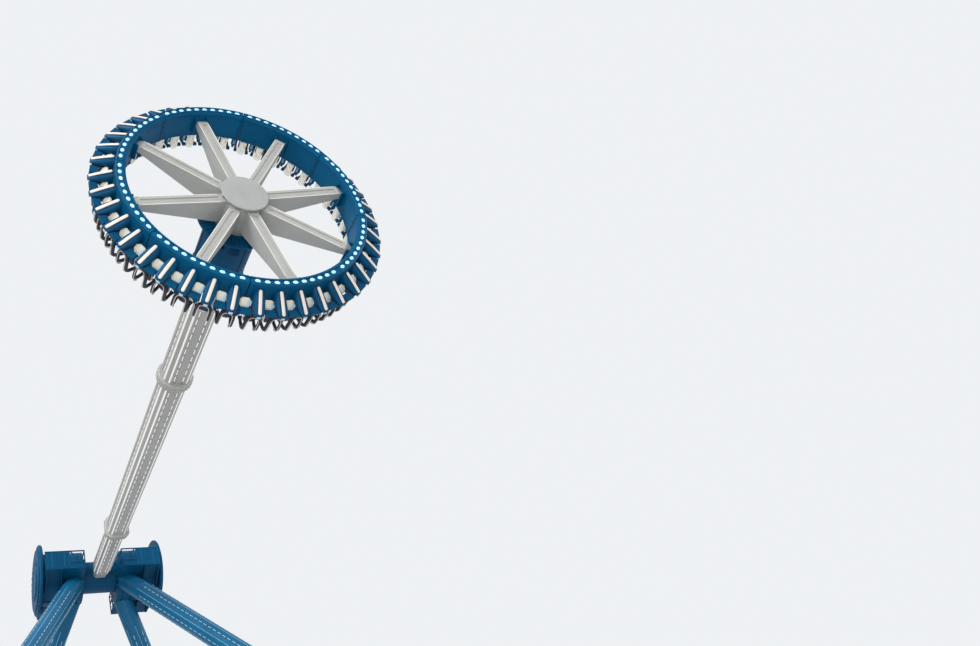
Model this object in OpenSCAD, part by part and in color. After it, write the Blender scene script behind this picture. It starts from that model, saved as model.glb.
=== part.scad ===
// Half-size model of a swinging pendulum ride: four splayed legs carry a head,
// the head carries a pendulum arm, and the arm carries a ring of outward-facing seats.
// The origin lies on the ground under the swing axis. X runs along the swing axis,
// Y along the swing and Z up. All sizes are in millimetres of the half-size model.

/* [Swing] */
// Height of the swing axis above the ground
pivot_height = 16500; // [15500:50:17500]
// Distance from the swing axis to the bottom plane of the seat ring
arm_reach = 14750; // [14000:50:15300]
// Angle of the arm away from straight down, as it is stored
rest_angle = 76.5; // [0:0.5:110]
// Turn of the seat ring about the arm, as it is stored
ring_turn = -14.1; // [-22:0.1:22]

/* [Legs] */
// Diameter of a leg tube
leg_d = 520; // [440:10:560]
// Wall of a leg tube
leg_wall = 24; // [12:1:40]
// Sideways run of a leg for each unit of drop
leg_splay_x = 0.454; // [0.40:0.01:0.50]
// Run of a leg along the swing for each unit of drop
leg_splay_y = 0.601; // [0.54:0.01:0.66]
// Distance of a leg's upper centre line from the middle of the ride
leg_head_x = 604; // [590:1:640]
// Distance of a leg's upper centre line from the swing axis, along the swing
leg_head_y = 253; // [230:1:280]
// Drop of a leg's upper centre point below the swing axis
leg_head_drop = 235; // [200:1:260]
// Side of a square foot plate
foot_side = 1300; // [1200:10:1500]
// Thickness of a foot plate
foot_t = 60; // [40:1:80]
// Distance between the anchor holes of a foot plate
anchor_pitch = 1060; // [1000:10:1100]
// Diameter of an anchor hole
anchor_d = 60; // [40:1:70]

/* [Head] */
// Diameter of the bearing housings and drive drums
drum_d = 1400; // [1300:10:1500]
// Distance from the middle of the ride to a bearing housing
housing_x = 470; // [460:1:490]
// Length of a bearing housing along the swing axis
housing_l = 550; // [520:1:580]
// Length of a drive drum along the swing axis
drum_l = 560; // [500:1:600]
// Diameter of an end cover
cover_d = 1920; // [1840:10:2000]
// Thickness of an end cover
cover_t = 120; // [90:1:160]
// Diameter of the bearing journal
journal_d = 500; // [420:1:560]
// Radial running clearance in a bearing
bearing_gap = 0.6; // [0.4:0.1:0.8]
// Distance from the swing axis to a gallery's outer edge
gallery_y = 1100; // [1040:1:1180]
// Drop of a gallery's walking surface below the swing axis
gallery_drop = 450; // [420:1:500]
// Height of a gallery's railing
rail_h = 560; // [500:1:600]
// Diameter of a railing tube
rail_d = 26; // [20:1:34]

/* [Arm] */
// Diameter of the swing tube between the bearing housings
tube_d = 860; // [800:10:900]
// Side of the arm's box
arm_side = 540; // [480:5:560]
// Chamfer along the arm's four corners
arm_chamfer = 85; // [60:1:100]
// Width of the two light channels in each broad face of the arm
channel_w = 44; // [30:1:56]
// Depth of a light channel
channel_deep = 10; // [6:1:16]
// Distance from the swing axis to the middle of the lower collar
lower_collar_at = 3050; // [2800:10:3400]
// Side of the lower collar
lower_collar_side = 720; // [680:10:800]
// Length of the lower collar
lower_collar_l = 150; // [100:1:200]
// Distance from the swing axis to the middle of the upper collar
upper_collar_at = 9650; // [9200:10:10000]
// Diameter of the upper collar
upper_collar_d = 800; // [760:10:840]
// Length of the upper collar
upper_collar_l = 210; // [160:1:260]

/* [Drive housing] */
// Diameter of the housing between the arm and the seat ring
drive_d = 920; // [880:5:980]
// Length of the housing
drive_l = 1060; // [980:5:1150]

/* [Seat ring] */
// Radius of the ring's inner wall
ring_in_r = 1945; // [1920:1:1960]
// Width of the ring from its inner wall to its outer wall
ring_w = 167; // [150:1:190]
// Distance of the circle of lamps from the ring's inner wall
lamp_in = 97; // [80:1:110]
// Width of the recess that holds the lamps
lamp_band_w = 88; // [80:1:96]
// Depth of the recess that holds the lamps
lamp_band_deep = 16; // [10:1:24]
// Depth of the ring along the arm
ring_deep = 510; // [480:1:540]
// Gap between two ring segments
segment_gap = 14; // [8:1:24]
// Width of a spoke
spoke_w = 190; // [170:1:210]
// Depth of a spoke at the ring
spoke_tip = 100; // [80:1:140]
// Depth of a spoke at the hub
spoke_root = 425; // [380:1:440]
// Distance of a spoke's bottom edge inside the ring's bottom plane, at the ring
spoke_in_tip = 140; // [120:1:160]
// Distance of a spoke's bottom edge inside the ring's bottom plane, at the hub
spoke_in_root = 175; // [160:1:190]
// Diameter of the hub
hub_d = 720; // [680:1:760]
// Length of the hub along the arm
hub_l = 610; // [600:1:640]
// Diameter of the hub cap
cap_d = 804; // [780:1:830]
// Distance of the hub cap inside the ring's bottom plane
cap_in = 94; // [80:1:110]

/* [Seats] */
// Seats on each ring segment
seats_per_segment = 5; // [3:1:5]
// Angle between two seats
seat_step = 8.8; // [8.6:0.1:9]
// Width of a seat back
back_w = 176; // [160:1:190]
// Thickness of a seat back
back_t = 74; // [60:1:80]
// Height of a seat back above the ring
back_h = 355; // [320:1:380]
// Width of a seat pan
pan_w = 290; // [260:1:300]
// Reach of a seat pan beyond the ring's outer wall
pan_reach = 360; // [340:1:380]
// Thickness of a cushion
cushion_t = 42; // [30:1:50]
// Gap between the back cushion's foot and the pan cushion
cushion_break = 12; // [8:1:20]
// Width of one side of a shoulder restraint
restraint_w = 38; // [30:1:42]
// Reach of a shoulder restraint in front of the ring's outer wall
restraint_reach = 230; // [200:1:260]
// Length of a shoulder restraint's chest frame
chest_frame_l = 300; // [260:1:320]

/* [Hidden] */
seat_gap = 0.3;
run_gap = 6;
segments = 8;
segment_step = 360 / segments;
ring_out_r = ring_in_r + ring_w;
lamp_circle_r = ring_in_r + lamp_in;
beyond = 2 * ring_out_r;
housing_end = housing_x + housing_l;
drum_end = housing_end + drum_l;
drum_r = drum_d / 2;
leg_r = leg_d / 2;
leg_drop = pivot_height - leg_head_drop;
foot_x = leg_head_x + leg_splay_x * leg_drop;
foot_y = leg_head_y + leg_splay_y * leg_drop;
leg_len = leg_drop * norm([leg_splay_x, leg_splay_y, 1]);
leg_tilt = acos(leg_drop / leg_len);
leg_spare = 200;
gusset_t = 30;
gusset_h = 420;
gusset_in = 60;
gusset_toe = 60;
splice_at = 0.5;
splice_d = leg_d + 150;
splice_t = 45;
tube_half = housing_x - run_gap;
journal_end = housing_end - run_gap;
floor_t = 36;
gallery_in = housing_x + 30;
gallery_out = drum_end - 20;
gallery_l = gallery_out - gallery_in;
gallery_root = 300;
bracket_t = 30;
bracket_deep = 240;
bay_l = 400;
rib_w = 18;
rib_h = 18;
cap_t = 16;
guard_t = 26;
hub_top = cap_in + cap_t + hub_l;
drive_top = arm_reach - hub_top - guard_t - 8;
drive_near = drive_top - drive_l;
neck_d = 480;
neck_deep = 90;
tip_back = 95;
tip_rise = 45;
cheek_l = 70;
cheek_t = 28;
cheek_low = 110;
cheek_h = 300;
guard_d = 1290;
guard_slots = 48;
root_l = 330;
root_taper = 60;
arm_start = tube_d / 2 + root_l;
seat_angles = [for (k = [0 : seats_per_segment - 1]) (k - (seats_per_segment - 1) / 2) * seat_step];
pan_low = 104;
pan_rise = 165;
back_top = ring_deep + back_h;
back_corner = 70;
nose_corner = 46;
hinge_low = 62;
bar_t = 46;
frame_t = 54;
lap_l = 60;
$fn = 64;

// Frames of reference

// Turns a child drawn with the swing axis at its origin and the arm along -Z
module on_arm() {
  translate([0, 0, pivot_height]) rotate([-rest_angle, 0, 0]) children();
}

// Places a child drawn with the ring's bottom plane at z = 0 and the arm above it
module on_ring() {
  on_arm() translate([0, 0, -arm_reach]) rotate([0, 0, ring_turn]) children();
}

module on_segment(i) {
  on_ring() rotate([0, 0, 45 + i * segment_step]) children();
}

// A cylinder along X from x0 to x1
module bar_x(d, x0, x1) {
  translate([x0, 0, 0]) rotate([0, 90, 0]) cylinder(d = d, h = x1 - x0, $fn = 144);
}

// Legs

// A leg's axis stands along +Z with its foot at the origin
module along_leg(sx, sy) {
  translate([sx * foot_x, sy * foot_y, 0])
    rotate([0, 0, atan2(-sy * leg_splay_y, -sx * leg_splay_x)])
      rotate([0, leg_tilt, 0]) children();
}

module leg_envelope(sx, sy, d) {
  along_leg(sx, sy) translate([0, 0, -leg_spare]) cylinder(d = d, h = leg_len + leg_spare, $fn = 96);
}

module foot_plate() {
  difference() {
    translate([-foot_side / 2, -foot_side / 2, 0]) cube([foot_side, foot_side, foot_t]);
    for (x = [-1, 1], y = [-1, 1])
      translate([x * anchor_pitch / 2, y * anchor_pitch / 2, -1]) cylinder(d = anchor_d, h = foot_t + 2);
  }
}

module gussets() {
  toe = foot_side / 2 - gusset_in;
  for (a = [0 : 90 : 270]) rotate([0, 0, a]) rotate([90, 0, 0])
    translate([0, 0, -gusset_t / 2]) linear_extrude(gusset_t)
      polygon([[0, foot_t - 1], [toe, foot_t - 1], [toe, foot_t + gusset_toe],
        [leg_r + gusset_toe, foot_t + gusset_h], [0, foot_t + gusset_h]]);
}

module leg(sx, sy) {
  color("steelblue") difference() {
    union() {
      translate([sx * foot_x, sy * foot_y, 0]) foot_plate();
      translate([sx * foot_x, sy * foot_y, 0]) gussets();
      difference() {
        leg_envelope(sx, sy, leg_d);
        translate([sx * foot_x, sy * foot_y, foot_t / 2 - foot_side / 2])
          cube([2 * foot_side, 2 * foot_side, foot_side], center = true);
      }
      along_leg(sx, sy) translate([0, 0, leg_len * splice_at - splice_t])
        cylinder(d = splice_d, h = 2 * splice_t);
    }
    intersection() {
      leg_envelope(sx, sy, leg_d - 2 * leg_wall);
      translate([0, 0, pivot_height / 2 + foot_t])
        cube([4 * foot_x, 4 * foot_y, pivot_height], center = true);
    }
    translate([0, 0, pivot_height]) bar_x(drum_d + 2 * seat_gap, -2 * drum_end, 2 * drum_end);
  }
}

module leg_front_left() leg(-1, -1);
module leg_front_right() leg(1, -1);
module leg_back_left() leg(-1, 1);
module leg_back_right() leg(1, 1);

// Head: bearing housings, drive drums and end covers

module on_side(s) {
  translate([0, 0, pivot_height]) rotate([0, 0, s > 0 ? 0 : 180]) children();
}

module bearing_housing(s) {
  color("#0d5c92") on_side(s) difference() {
    union() {
      bar_x(drum_d, housing_x, housing_end);
      bar_x(tube_d + 60, housing_x - 0.1, housing_x + 40);
    }
    bar_x(journal_d + 2 * bearing_gap, housing_x - 50, housing_end + 1);
    for (x = [housing_x + 150, housing_end - 150])
      translate([x, 0, 0]) rotate([0, 90, 0])
        rotate_extrude() translate([drum_r, 0]) square([40, 26], center = true);
  }
}

// The drum's lengthwise ribs stand above and below, clear of the galleries
module drive_drum(s) {
  color("#0b5488") on_side(s) difference() {
    union() {
      bar_x(drum_d, housing_end + seat_gap, drum_end);
      for (a = [-100, -60, -20, 20, 60, 100, 180]) rotate([a, 0, 0])
        translate([housing_end + 60, -rib_w / 2, drum_r - 6]) cube([drum_l - 110, rib_w, rib_h + 6]);
    }
    bar_x(drum_d - 80, housing_end + 40, drum_end - 40);
  }
}

module end_cover(s) {
  color("#0f659f") on_side(s) translate([drum_end + seat_gap, 0, 0]) rotate([90, 0, 90])
    rotate_extrude($fn = 96) polygon([
      [0, 0], [cover_d / 2 - 18, 0], [cover_d / 2, 18], [cover_d / 2, 60], [cover_d / 2 - 30, 78],
      [cover_d / 2 - 120, 78], [cover_d / 2 - 150, cover_t], [cover_d / 2 - 420, cover_t],
      [cover_d / 2 - 440, cover_t + 34], [0, cover_t + 34]]);
}

module bearing_housing_left() bearing_housing(-1);
module bearing_housing_right() bearing_housing(1);
module drive_drum_left() drive_drum(-1);
module drive_drum_right() drive_drum(1);
module end_cover_left() end_cover(-1);
module end_cover_right() end_cover(1);

// Galleries

module at_gallery(sx, sy) {
  translate([0, 0, pivot_height])
    mirror([sx > 0 ? 0 : 1, 0, 0]) mirror([0, sy > 0 ? 0 : 1, 0]) children();
}

module gallery(sx, sy) {
  color("#0a4f80") difference() {
    at_gallery(sx, sy) {
      translate([gallery_in, gallery_root, -gallery_drop - floor_t])
        cube([gallery_l, gallery_y - gallery_root, floor_t]);
      for (x = [housing_end + 90, gallery_out - 70])
        translate([x, 0, -gallery_drop]) rotate([90, 0, 90]) linear_extrude(bracket_t)
          polygon([[gallery_root, -1], [gallery_y - 20, -1], [gallery_y - 20, -70],
            [gallery_root + bracket_deep, -bracket_deep], [gallery_root, -bracket_deep]]);
    }
    leg_envelope(sx, sy, leg_d + 2 * seat_gap);
    translate([0, 0, pivot_height]) bar_x(drum_d + 2 * seat_gap, -2 * drum_end, 2 * drum_end);
  }
}

// A railing stands on the gallery's edge: posts, two rails, a closed panel and an open braced bay
module railing(sx, sy) {
  panel_from = gallery_in + bay_l;
  y0 = gallery_y - rail_d;
  color("#0d5c92") at_gallery(sx, sy) translate([0, 0, -gallery_drop + seat_gap]) union() {
    for (x = [gallery_in, panel_from, (panel_from + gallery_out) / 2, gallery_out - rail_d])
      translate([x, y0, 0]) cube([rail_d, rail_d, rail_h]);
    for (z = [0, rail_h - rail_d])
      translate([gallery_in, y0, z]) cube([gallery_l, rail_d, rail_d]);
    translate([panel_from, y0 + 8, 0]) cube([gallery_out - panel_from, 10, rail_h]);
    translate([gallery_in, y0 + 5, 0]) cube([bay_l, 14, 110]);
    translate([gallery_in, y0 + 6, 0]) rotate([90, 0, 0]) mirror([0, 0, 1]) linear_extrude(14)
      polygon([[10, 10], [34, 10], [bay_l, rail_h - 24], [bay_l, rail_h - 4],
        [bay_l - 24, rail_h - 4], [10, 34]]);
    translate([gallery_in, gallery_y - 330, 0]) cube([rail_d, rail_d, rail_h]);
    translate([gallery_in, gallery_y - 330, rail_h - rail_d]) cube([rail_d, 330, rail_d]);
    translate([gallery_in, gallery_y - 330, rail_h / 2]) cube([rail_d, 330, rail_d]);
  }
}

module gallery_front_left() gallery(-1, -1);
module gallery_front_right() gallery(1, -1);
module gallery_back_left() gallery(-1, 1);
module gallery_back_right() gallery(1, 1);
module railing_front_left() railing(-1, -1);
module railing_front_right() railing(1, -1);
module railing_back_left() railing(-1, 1);
module railing_back_right() railing(1, 1);

// Pendulum arm

module swing_tube() {
  color("#0d5c92") on_arm() {
    bar_x(tube_d, -tube_half, tube_half);
    bar_x(journal_d, -journal_end, journal_end);
  }
}

module arm_outline(side, chamfer) {
  h = side / 2;
  c = chamfer;
  polygon([[h, h - c], [h - c, h], [c - h, h], [-h, h - c],
    [-h, c - h], [c - h, -h], [h - c, -h], [h, c - h]]);
}

// The arm's section: a chamfered box with two light channels in each broad face and a wide one in each side
module arm_section() {
  difference() {
    arm_outline(arm_side, arm_chamfer);
    for (s = [-1, 1], x = [-1, 1])
      translate([x * arm_side / 6, s * arm_side / 2]) square([channel_w, 2 * channel_deep], center = true);
    for (s = [-1, 1])
      translate([s * arm_side / 2, 0]) square([2 * channel_deep, arm_side / 3], center = true);
  }
}

// A length of arm from distance a to distance b below the swing axis
module arm_run(a, b) {
  on_arm() translate([0, 0, -b]) linear_extrude(b - a) arm_section();
}

module arm_root() {
  color("#a8a6a0") on_arm() difference() {
    translate([0, 0, -arm_start + seat_gap]) rotate([90, 0, 0]) linear_extrude(arm_side, center = true)
      polygon([[-arm_side / 2, 0], [arm_side / 2, 0], [arm_side / 2, root_l * 0.45],
        [arm_side / 2 - root_taper, root_l], [arm_side / 2 - root_taper, arm_start - 100],
        [root_taper - arm_side / 2, arm_start - 100], [root_taper - arm_side / 2, root_l],
        [-arm_side / 2, root_l * 0.45]]);
    bar_x(tube_d + 2 * seat_gap, -tube_half, tube_half);
  }
}

module arm_lower() {
  color("#a8a6a0") arm_run(arm_start, lower_collar_at - lower_collar_l / 2 - seat_gap);
}

module lower_collar() {
  color("#9a9893") on_arm() translate([0, 0, -lower_collar_at]) {
    difference() {
      linear_extrude(lower_collar_l, center = true) arm_outline(lower_collar_side, 110);
      for (a = [0 : 90 : 270]) rotate([0, 0, a])
        translate([lower_collar_side / 2, 0, 0])
          cube([50, lower_collar_side * 0.6, lower_collar_l * 0.36], center = true);
    }
  }
}

module arm_middle() {
  color("#a8a6a0") arm_run(lower_collar_at + lower_collar_l / 2 + seat_gap,
    upper_collar_at - upper_collar_l / 2 - seat_gap);
}

// The upper collar: a round flange pair with a bolting groove between
module upper_collar() {
  r = upper_collar_d / 2;
  h = upper_collar_l / 2;
  color("#9a9893") on_arm() translate([0, 0, -upper_collar_at]) rotate_extrude() polygon([
    [0, -h], [r - 20, -h], [r, 20 - h], [r, -25], [r - 30, -25],
    [r - 30, 25], [r, 25], [r, h - 20], [r - 20, h], [0, h]]);
}

module arm_upper() {
  color("#a8a6a0") arm_run(upper_collar_at + upper_collar_l / 2 + seat_gap, drive_near - seat_gap);
}

// The housing of the ring's turning drive, with a stepped rim at its lower end and strips along its wall
module drive_housing() {
  r = drive_d / 2;
  color("#0d5c92") on_arm() translate([0, 0, -drive_top]) difference() {
    union() {
      rotate_extrude($fn = 96) polygon([
        [0, 0], [r - 12, 0], [r, 12], [r, 34], [r + 16, 34], [r + 16, 74], [r, 74], [r, 96],
        [r + 10, 96], [r + 10, 120], [r, 120], [r, drive_l - 40], [r + 12, drive_l - 40],
        [r + 12, drive_l], [0, drive_l]]);
      for (a = [0 : 60 : 300]) rotate([0, 0, a])
        translate([r - 5, -26, 118]) cube([17, 52, drive_l - 156]);
    }
    translate([0, 0, -1]) cylinder(d = neck_d + 2 * bearing_gap, h = neck_deep + run_gap + 1);
  }
}

// Seat ring

module hub() {
  color("#b4b4b0") on_ring() {
    translate([0, 0, cap_in + cap_t + seat_gap])
      cylinder(d = hub_d, h = hub_top - cap_in - cap_t - seat_gap);
    translate([0, 0, hub_top - 1])
      cylinder(d = neck_d, h = arm_reach - drive_top - hub_top + neck_deep + 1);
  }
}

module hub_cap() {
  r = cap_d / 2;
  color("#b0b3b0") on_ring() translate([0, 0, cap_in]) rotate_extrude($fn = 96) polygon([
    [0, 10], [r - 90, 10], [r - 80, 0], [r - 8, 0], [r, 8], [r, cap_t], [0, cap_t]]);
}

module guard_ring() {
  slot_r = guard_d / 2 - 34;
  color("#0d5c92") on_ring() translate([0, 0, hub_top + seat_gap]) difference() {
    cylinder(d = guard_d, h = guard_t, $fn = 96);
    translate([0, 0, -1]) cylinder(d = neck_d + 20, h = guard_t + 2);
    for (i = [0 : guard_slots - 1]) rotate([0, 0, i * 360 / guard_slots])
      translate([hub_d / 2 + 60, -11, -1]) cube([slot_r - hub_d / 2 - 60, 22, guard_t + 2]);
  }
}

// A spoke is a box that tapers from a deep root to a chamfered tip, with a grooved bottom face
module spoke() {
  groove_from = cap_d / 2 + 60;
  groove_to = ring_in_r - tip_back - 60;
  intersection() {
    difference() {
      rotate([90, 0, 0]) linear_extrude(spoke_w, center = true) polygon([
        [hub_d / 2 - 60, spoke_in_root], [cap_d / 2 + 10, spoke_in_root],
        [ring_in_r - tip_back, spoke_in_tip], [ring_in_r, spoke_in_tip + tip_rise],
        [ring_in_r + 30, spoke_in_tip + tip_rise], [ring_in_r + 30, spoke_in_tip + spoke_tip],
        [ring_in_r, spoke_in_tip + spoke_tip], [cap_d / 2 + 60, spoke_in_root + spoke_root],
        [hub_d / 2 - 60, spoke_in_root + spoke_root]]);
      cylinder(d = hub_d + 2 * seat_gap, h = beyond);
      rotate([90, 0, 0]) linear_extrude(spoke_w * 0.36, center = true) polygon([
        [groove_from, 0], [groove_to, 0], [groove_to, spoke_in_tip + 14],
        [groove_from, spoke_in_root + 12]]);
    }
    cylinder(r = ring_in_r - seat_gap, h = beyond, $fn = 256);
  }
}

module spokes() {
  color("#c4c4c0") for (i = [0 : segments - 1]) on_segment(i) spoke();
}

// A ring segment: a closed box with an inner lip, a recess for the lamps and cheeks that hold the spoke
module ring_segment(i) {
  half = segment_step / 2;
  gap_angle = asin(segment_gap / 2 / ring_in_r);
  lamp_half = lamp_band_w / 2;
  color("#0b5488") on_segment(i) union() {
    rotate([0, 0, gap_angle - half])
      rotate_extrude(angle = segment_step - 2 * gap_angle, $fn = 128) polygon([
        [ring_in_r, 34], [ring_in_r + 22, 34], [ring_in_r + 34, 12], [lamp_circle_r - lamp_half - 6, 12],
        [lamp_circle_r - lamp_half - 4, 0], [lamp_circle_r - lamp_half + 4, 0],
        [lamp_circle_r - lamp_half + 6, lamp_band_deep], [lamp_circle_r + lamp_half - 6, lamp_band_deep],
        [lamp_circle_r + lamp_half - 4, 0], [lamp_circle_r + lamp_half + 6, 0], [ring_out_r, 26],
        [ring_out_r, ring_deep - 40], [ring_out_r - 20, ring_deep], [ring_in_r + 20, ring_deep],
        [ring_in_r, ring_deep - 20]]);
    intersection() {
      for (y = [spoke_w / 2 + seat_gap, -spoke_w / 2 - seat_gap - cheek_t])
        translate([ring_in_r - cheek_l, y, cheek_low]) cube([cheek_l + 12, cheek_t, cheek_h]);
      cylinder(r = ring_in_r + 8, h = beyond, $fn = 256);
    }
  }
}

module ring_segment_1() ring_segment(0);
module ring_segment_2() ring_segment(1);
module ring_segment_3() ring_segment(2);
module ring_segment_4() ring_segment(3);
module ring_segment_5() ring_segment(4);
module ring_segment_6() ring_segment(5);
module ring_segment_7() ring_segment(6);
module ring_segment_8() ring_segment(7);

// Seats

// The seat's side view, x outwards from the hub and y towards the arm
module seat_side() {
  r = ring_out_r + seat_gap;
  reach = r + pan_reach;
  rise = pan_low + pan_rise;
  polygon([
    [r, pan_low], [r + 40, pan_low + 10], [reach, rise], [reach + 14, rise + 28], [reach + 2, rise + 62],
    [r + 90, rise + 30], [r + 40, rise + 62], [r + 40, ring_deep + 30], [r + 8, back_top - 20],
    [r - 12, back_top], [r - back_t + 20, back_top], [r - back_t, back_top - 24],
    [r - back_t, ring_deep + seat_gap], [r, ring_deep + seat_gap]]);
}

// The seat from the front: a back with rounded top corners over a wider pan
module seat_face() {
  w = back_w / 2;
  translate([-w, pan_low]) square([back_w, back_top - pan_low - back_corner]);
  translate([back_corner - w, pan_low]) square([back_w - 2 * back_corner, back_top - pan_low]);
  for (s = [-1, 1]) translate([s * (w - back_corner), back_top - back_corner]) circle(r = back_corner);
  translate([-pan_w / 2, 0]) square([pan_w, ring_deep - 60]);
}

// The seat from above: the pan's nose is drawn in at its corners
module seat_plan() {
  w = pan_w / 2;
  nose = ring_out_r + pan_reach + 20;
  polygon([[0, -w], [nose - 2 * nose_corner, -w], [nose - nose_corner / 2, nose_corner / 2 - w],
    [nose, 1.5 * nose_corner - w], [nose, w - 1.5 * nose_corner],
    [nose - nose_corner / 2, w - nose_corner / 2], [nose - 2 * nose_corner, w], [0, w]]);
}

module seat() {
  intersection() {
    rotate([90, 0, 0]) linear_extrude(pan_w, center = true) seat_side();
    rotate([90, 0, 90]) linear_extrude(beyond) seat_face();
    linear_extrude(2 * back_top) seat_plan();
  }
}

module seats(i) {
  color("#b5b3ae") on_segment(i) for (a = seat_angles) rotate([0, 0, a]) seat();
}

module seats_1() seats(0);
module seats_2() seats(1);
module seats_3() seats(2);
module seats_4() seats(3);
module seats_5() seats(4);
module seats_6() seats(5);
module seats_7() seats(6);
module seats_8() seats(7);

// Cushions: one on the pan and one on the back, a little apart at the hip
module pan_cushion() {
  r = ring_out_r + seat_gap;
  rise = pan_low + pan_rise + 2 * seat_gap;
  top = rise + 60 + cushion_t;
  rotate([90, 0, 0]) linear_extrude(back_w - 16, center = true) polygon([
    [r + pan_reach - 20, rise + 59.4], [r + 92, rise + 30], [r + 50, rise + 55.6], [r + 50, top],
    [r + pan_reach - 40, top], [r + pan_reach - 20, top - 14]]);
}

module back_cushion() {
  r = ring_out_r + 2 * seat_gap;
  foot = pan_low + pan_rise + 60 + cushion_t + cushion_break;
  top = 40 - 32 * (back_h - 90) / (back_h - 50);
  t = cushion_t;
  rotate([90, 0, 0]) linear_extrude(back_w - 16, center = true) polygon([
    [r + 40, foot], [r + 40, ring_deep + 30], [r + top, back_top - 60], [r + top + t, back_top - 68],
    [r + 40 + t, ring_deep + 30], [r + 42 + t, foot + 14], [r + 30 + t, foot]]);
}

module pan_cushions() {
  color("#16263f") for (i = [0 : segments - 1]) on_segment(i)
    for (a = seat_angles) rotate([0, 0, a]) pan_cushion();
}

module back_cushions() {
  color("#16263f") for (i = [0 : segments - 1]) on_segment(i)
    for (a = seat_angles) rotate([0, 0, a]) back_cushion();
}

// Shoulder restraints: a bar beside each side of the back, and a frame that closes them over the chest
module shoulder_bar() {
  r = ring_out_r;
  z = back_top - hinge_low;
  reach = r + restraint_reach;
  rotate([90, 0, 0]) linear_extrude(restraint_w) polygon([
    [r - 50, z - bar_t / 2], [r - 44, z + bar_t / 2], [r + 60, z + bar_t / 2 + 10], [reach - 40, z + 12],
    [reach - 20, z - 8], [reach - 62, z - 34], [r + 60, z - 12]]);
}

module chest_frame() {
  w = back_w / 2 + seat_gap + restraint_w;
  z = back_top - hinge_low;
  reach = ring_out_r + restraint_reach;
  low = z - 34 - chest_frame_l;
  intersection() {
    rotate([90, 0, 0]) linear_extrude(2 * w, center = true) polygon([
      [reach - 62 + seat_gap / 2, z - 34 - seat_gap], [reach - 20 + seat_gap / 2, z - 8 - seat_gap],
      [reach, z - 40], [reach + 10, z - 200],
      [reach - 8, low + 10], [reach - frame_t + 14, low], [reach - frame_t, low + 20],
      [reach - frame_t + 10, z - 200]]);
    difference() {
      translate([ring_out_r, -w, 0]) cube([2 * restraint_reach, 2 * w, back_top]);
      translate([ring_out_r - 1, restraint_w - w, low + lap_l])
        cube([2 * restraint_reach + 2, 2 * (w - restraint_w), back_top]);
    }
  }
}

module shoulder_bars() {
  w = back_w / 2 + seat_gap;
  color("#23262b") for (i = [0 : segments - 1]) on_segment(i)
    for (a = seat_angles) rotate([0, 0, a]) {
      translate([0, w + restraint_w, 0]) shoulder_bar();
      translate([0, -w, 0]) shoulder_bar();
    }
}

module chest_frames() {
  color("#23262b") for (i = [0 : segments - 1]) on_segment(i)
    for (a = seat_angles) rotate([0, 0, a]) chest_frame();
}

leg_front_left();
leg_front_right();
leg_back_left();
leg_back_right();
bearing_housing_left();
bearing_housing_right();
drive_drum_left();
drive_drum_right();
end_cover_left();
end_cover_right();
gallery_front_left();
gallery_front_right();
gallery_back_left();
gallery_back_right();
railing_front_left();
railing_front_right();
railing_back_left();
railing_back_right();
swing_tube();
arm_root();
arm_lower();
lower_collar();
arm_middle();
upper_collar();
arm_upper();
drive_housing();
hub();
hub_cap();
guard_ring();
spokes();
ring_segment_1();
ring_segment_2();
ring_segment_3();
ring_segment_4();
ring_segment_5();
ring_segment_6();
ring_segment_7();
ring_segment_8();
seats_1();
seats_2();
seats_3();
seats_4();
seats_5();
seats_6();
seats_7();
seats_8();
pan_cushions();
back_cushions();
shoulder_bars();
chest_frames();
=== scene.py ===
"""Dresses the half-size swinging pendulum ride: lamps, light strips, moulded seats, bolts and paint.

The part's solids stay where they are. Every new piece is a surface worked out here in metres, in the
same frame: X along the swing axis, Y along the swing, Z up, the ground under the axis at the origin.
"""
import math

import bmesh
import bpy
import numpy as np
from mathutils import Matrix


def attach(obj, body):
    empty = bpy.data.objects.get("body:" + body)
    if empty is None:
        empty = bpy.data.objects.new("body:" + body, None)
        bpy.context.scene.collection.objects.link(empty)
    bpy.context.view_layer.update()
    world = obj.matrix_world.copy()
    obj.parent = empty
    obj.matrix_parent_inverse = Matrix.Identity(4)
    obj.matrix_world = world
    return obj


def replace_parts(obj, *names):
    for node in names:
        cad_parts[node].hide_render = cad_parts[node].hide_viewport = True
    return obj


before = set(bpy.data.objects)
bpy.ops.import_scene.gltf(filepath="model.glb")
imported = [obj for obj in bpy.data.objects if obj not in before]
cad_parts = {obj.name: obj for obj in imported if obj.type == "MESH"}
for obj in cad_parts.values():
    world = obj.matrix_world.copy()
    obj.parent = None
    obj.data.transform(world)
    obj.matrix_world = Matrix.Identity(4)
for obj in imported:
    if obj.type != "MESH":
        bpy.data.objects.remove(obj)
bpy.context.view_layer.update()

# Sizes of the solids

swing_height = 16.5
arm_reach = 14.75
rest_angle = math.radians(76.5)
ring_turn = math.radians(-14.1)

arm_half = 0.27
arm_chamfer = 0.085
channel_floor = arm_half - 0.010
lower_collar_at = 3.05
upper_collar_at = 9.65

drive_r = 0.46
drive_from = 12.936
drive_to = 13.996

drum_r = 0.70
housing_from, housing_to, drum_to = 0.470, 1.020, 1.580
cover_r = 0.96
gallery_y = 1.10
gallery_floor = -0.45
gallery_from, gallery_to = 0.500, 1.560
bay_l = 0.40
rail_top = 0.11

leg_r = 0.26
leg_drop = swing_height - 0.235
leg_head = (0.604, 0.253)
leg_splay = (0.454, 0.601)
leg_len = leg_drop * math.sqrt(1 + leg_splay[0] ** 2 + leg_splay[1] ** 2)
foot_top = 0.06
anchor_half = 0.53
splice_half = 0.045
splice_bolt_r = 0.300

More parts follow.
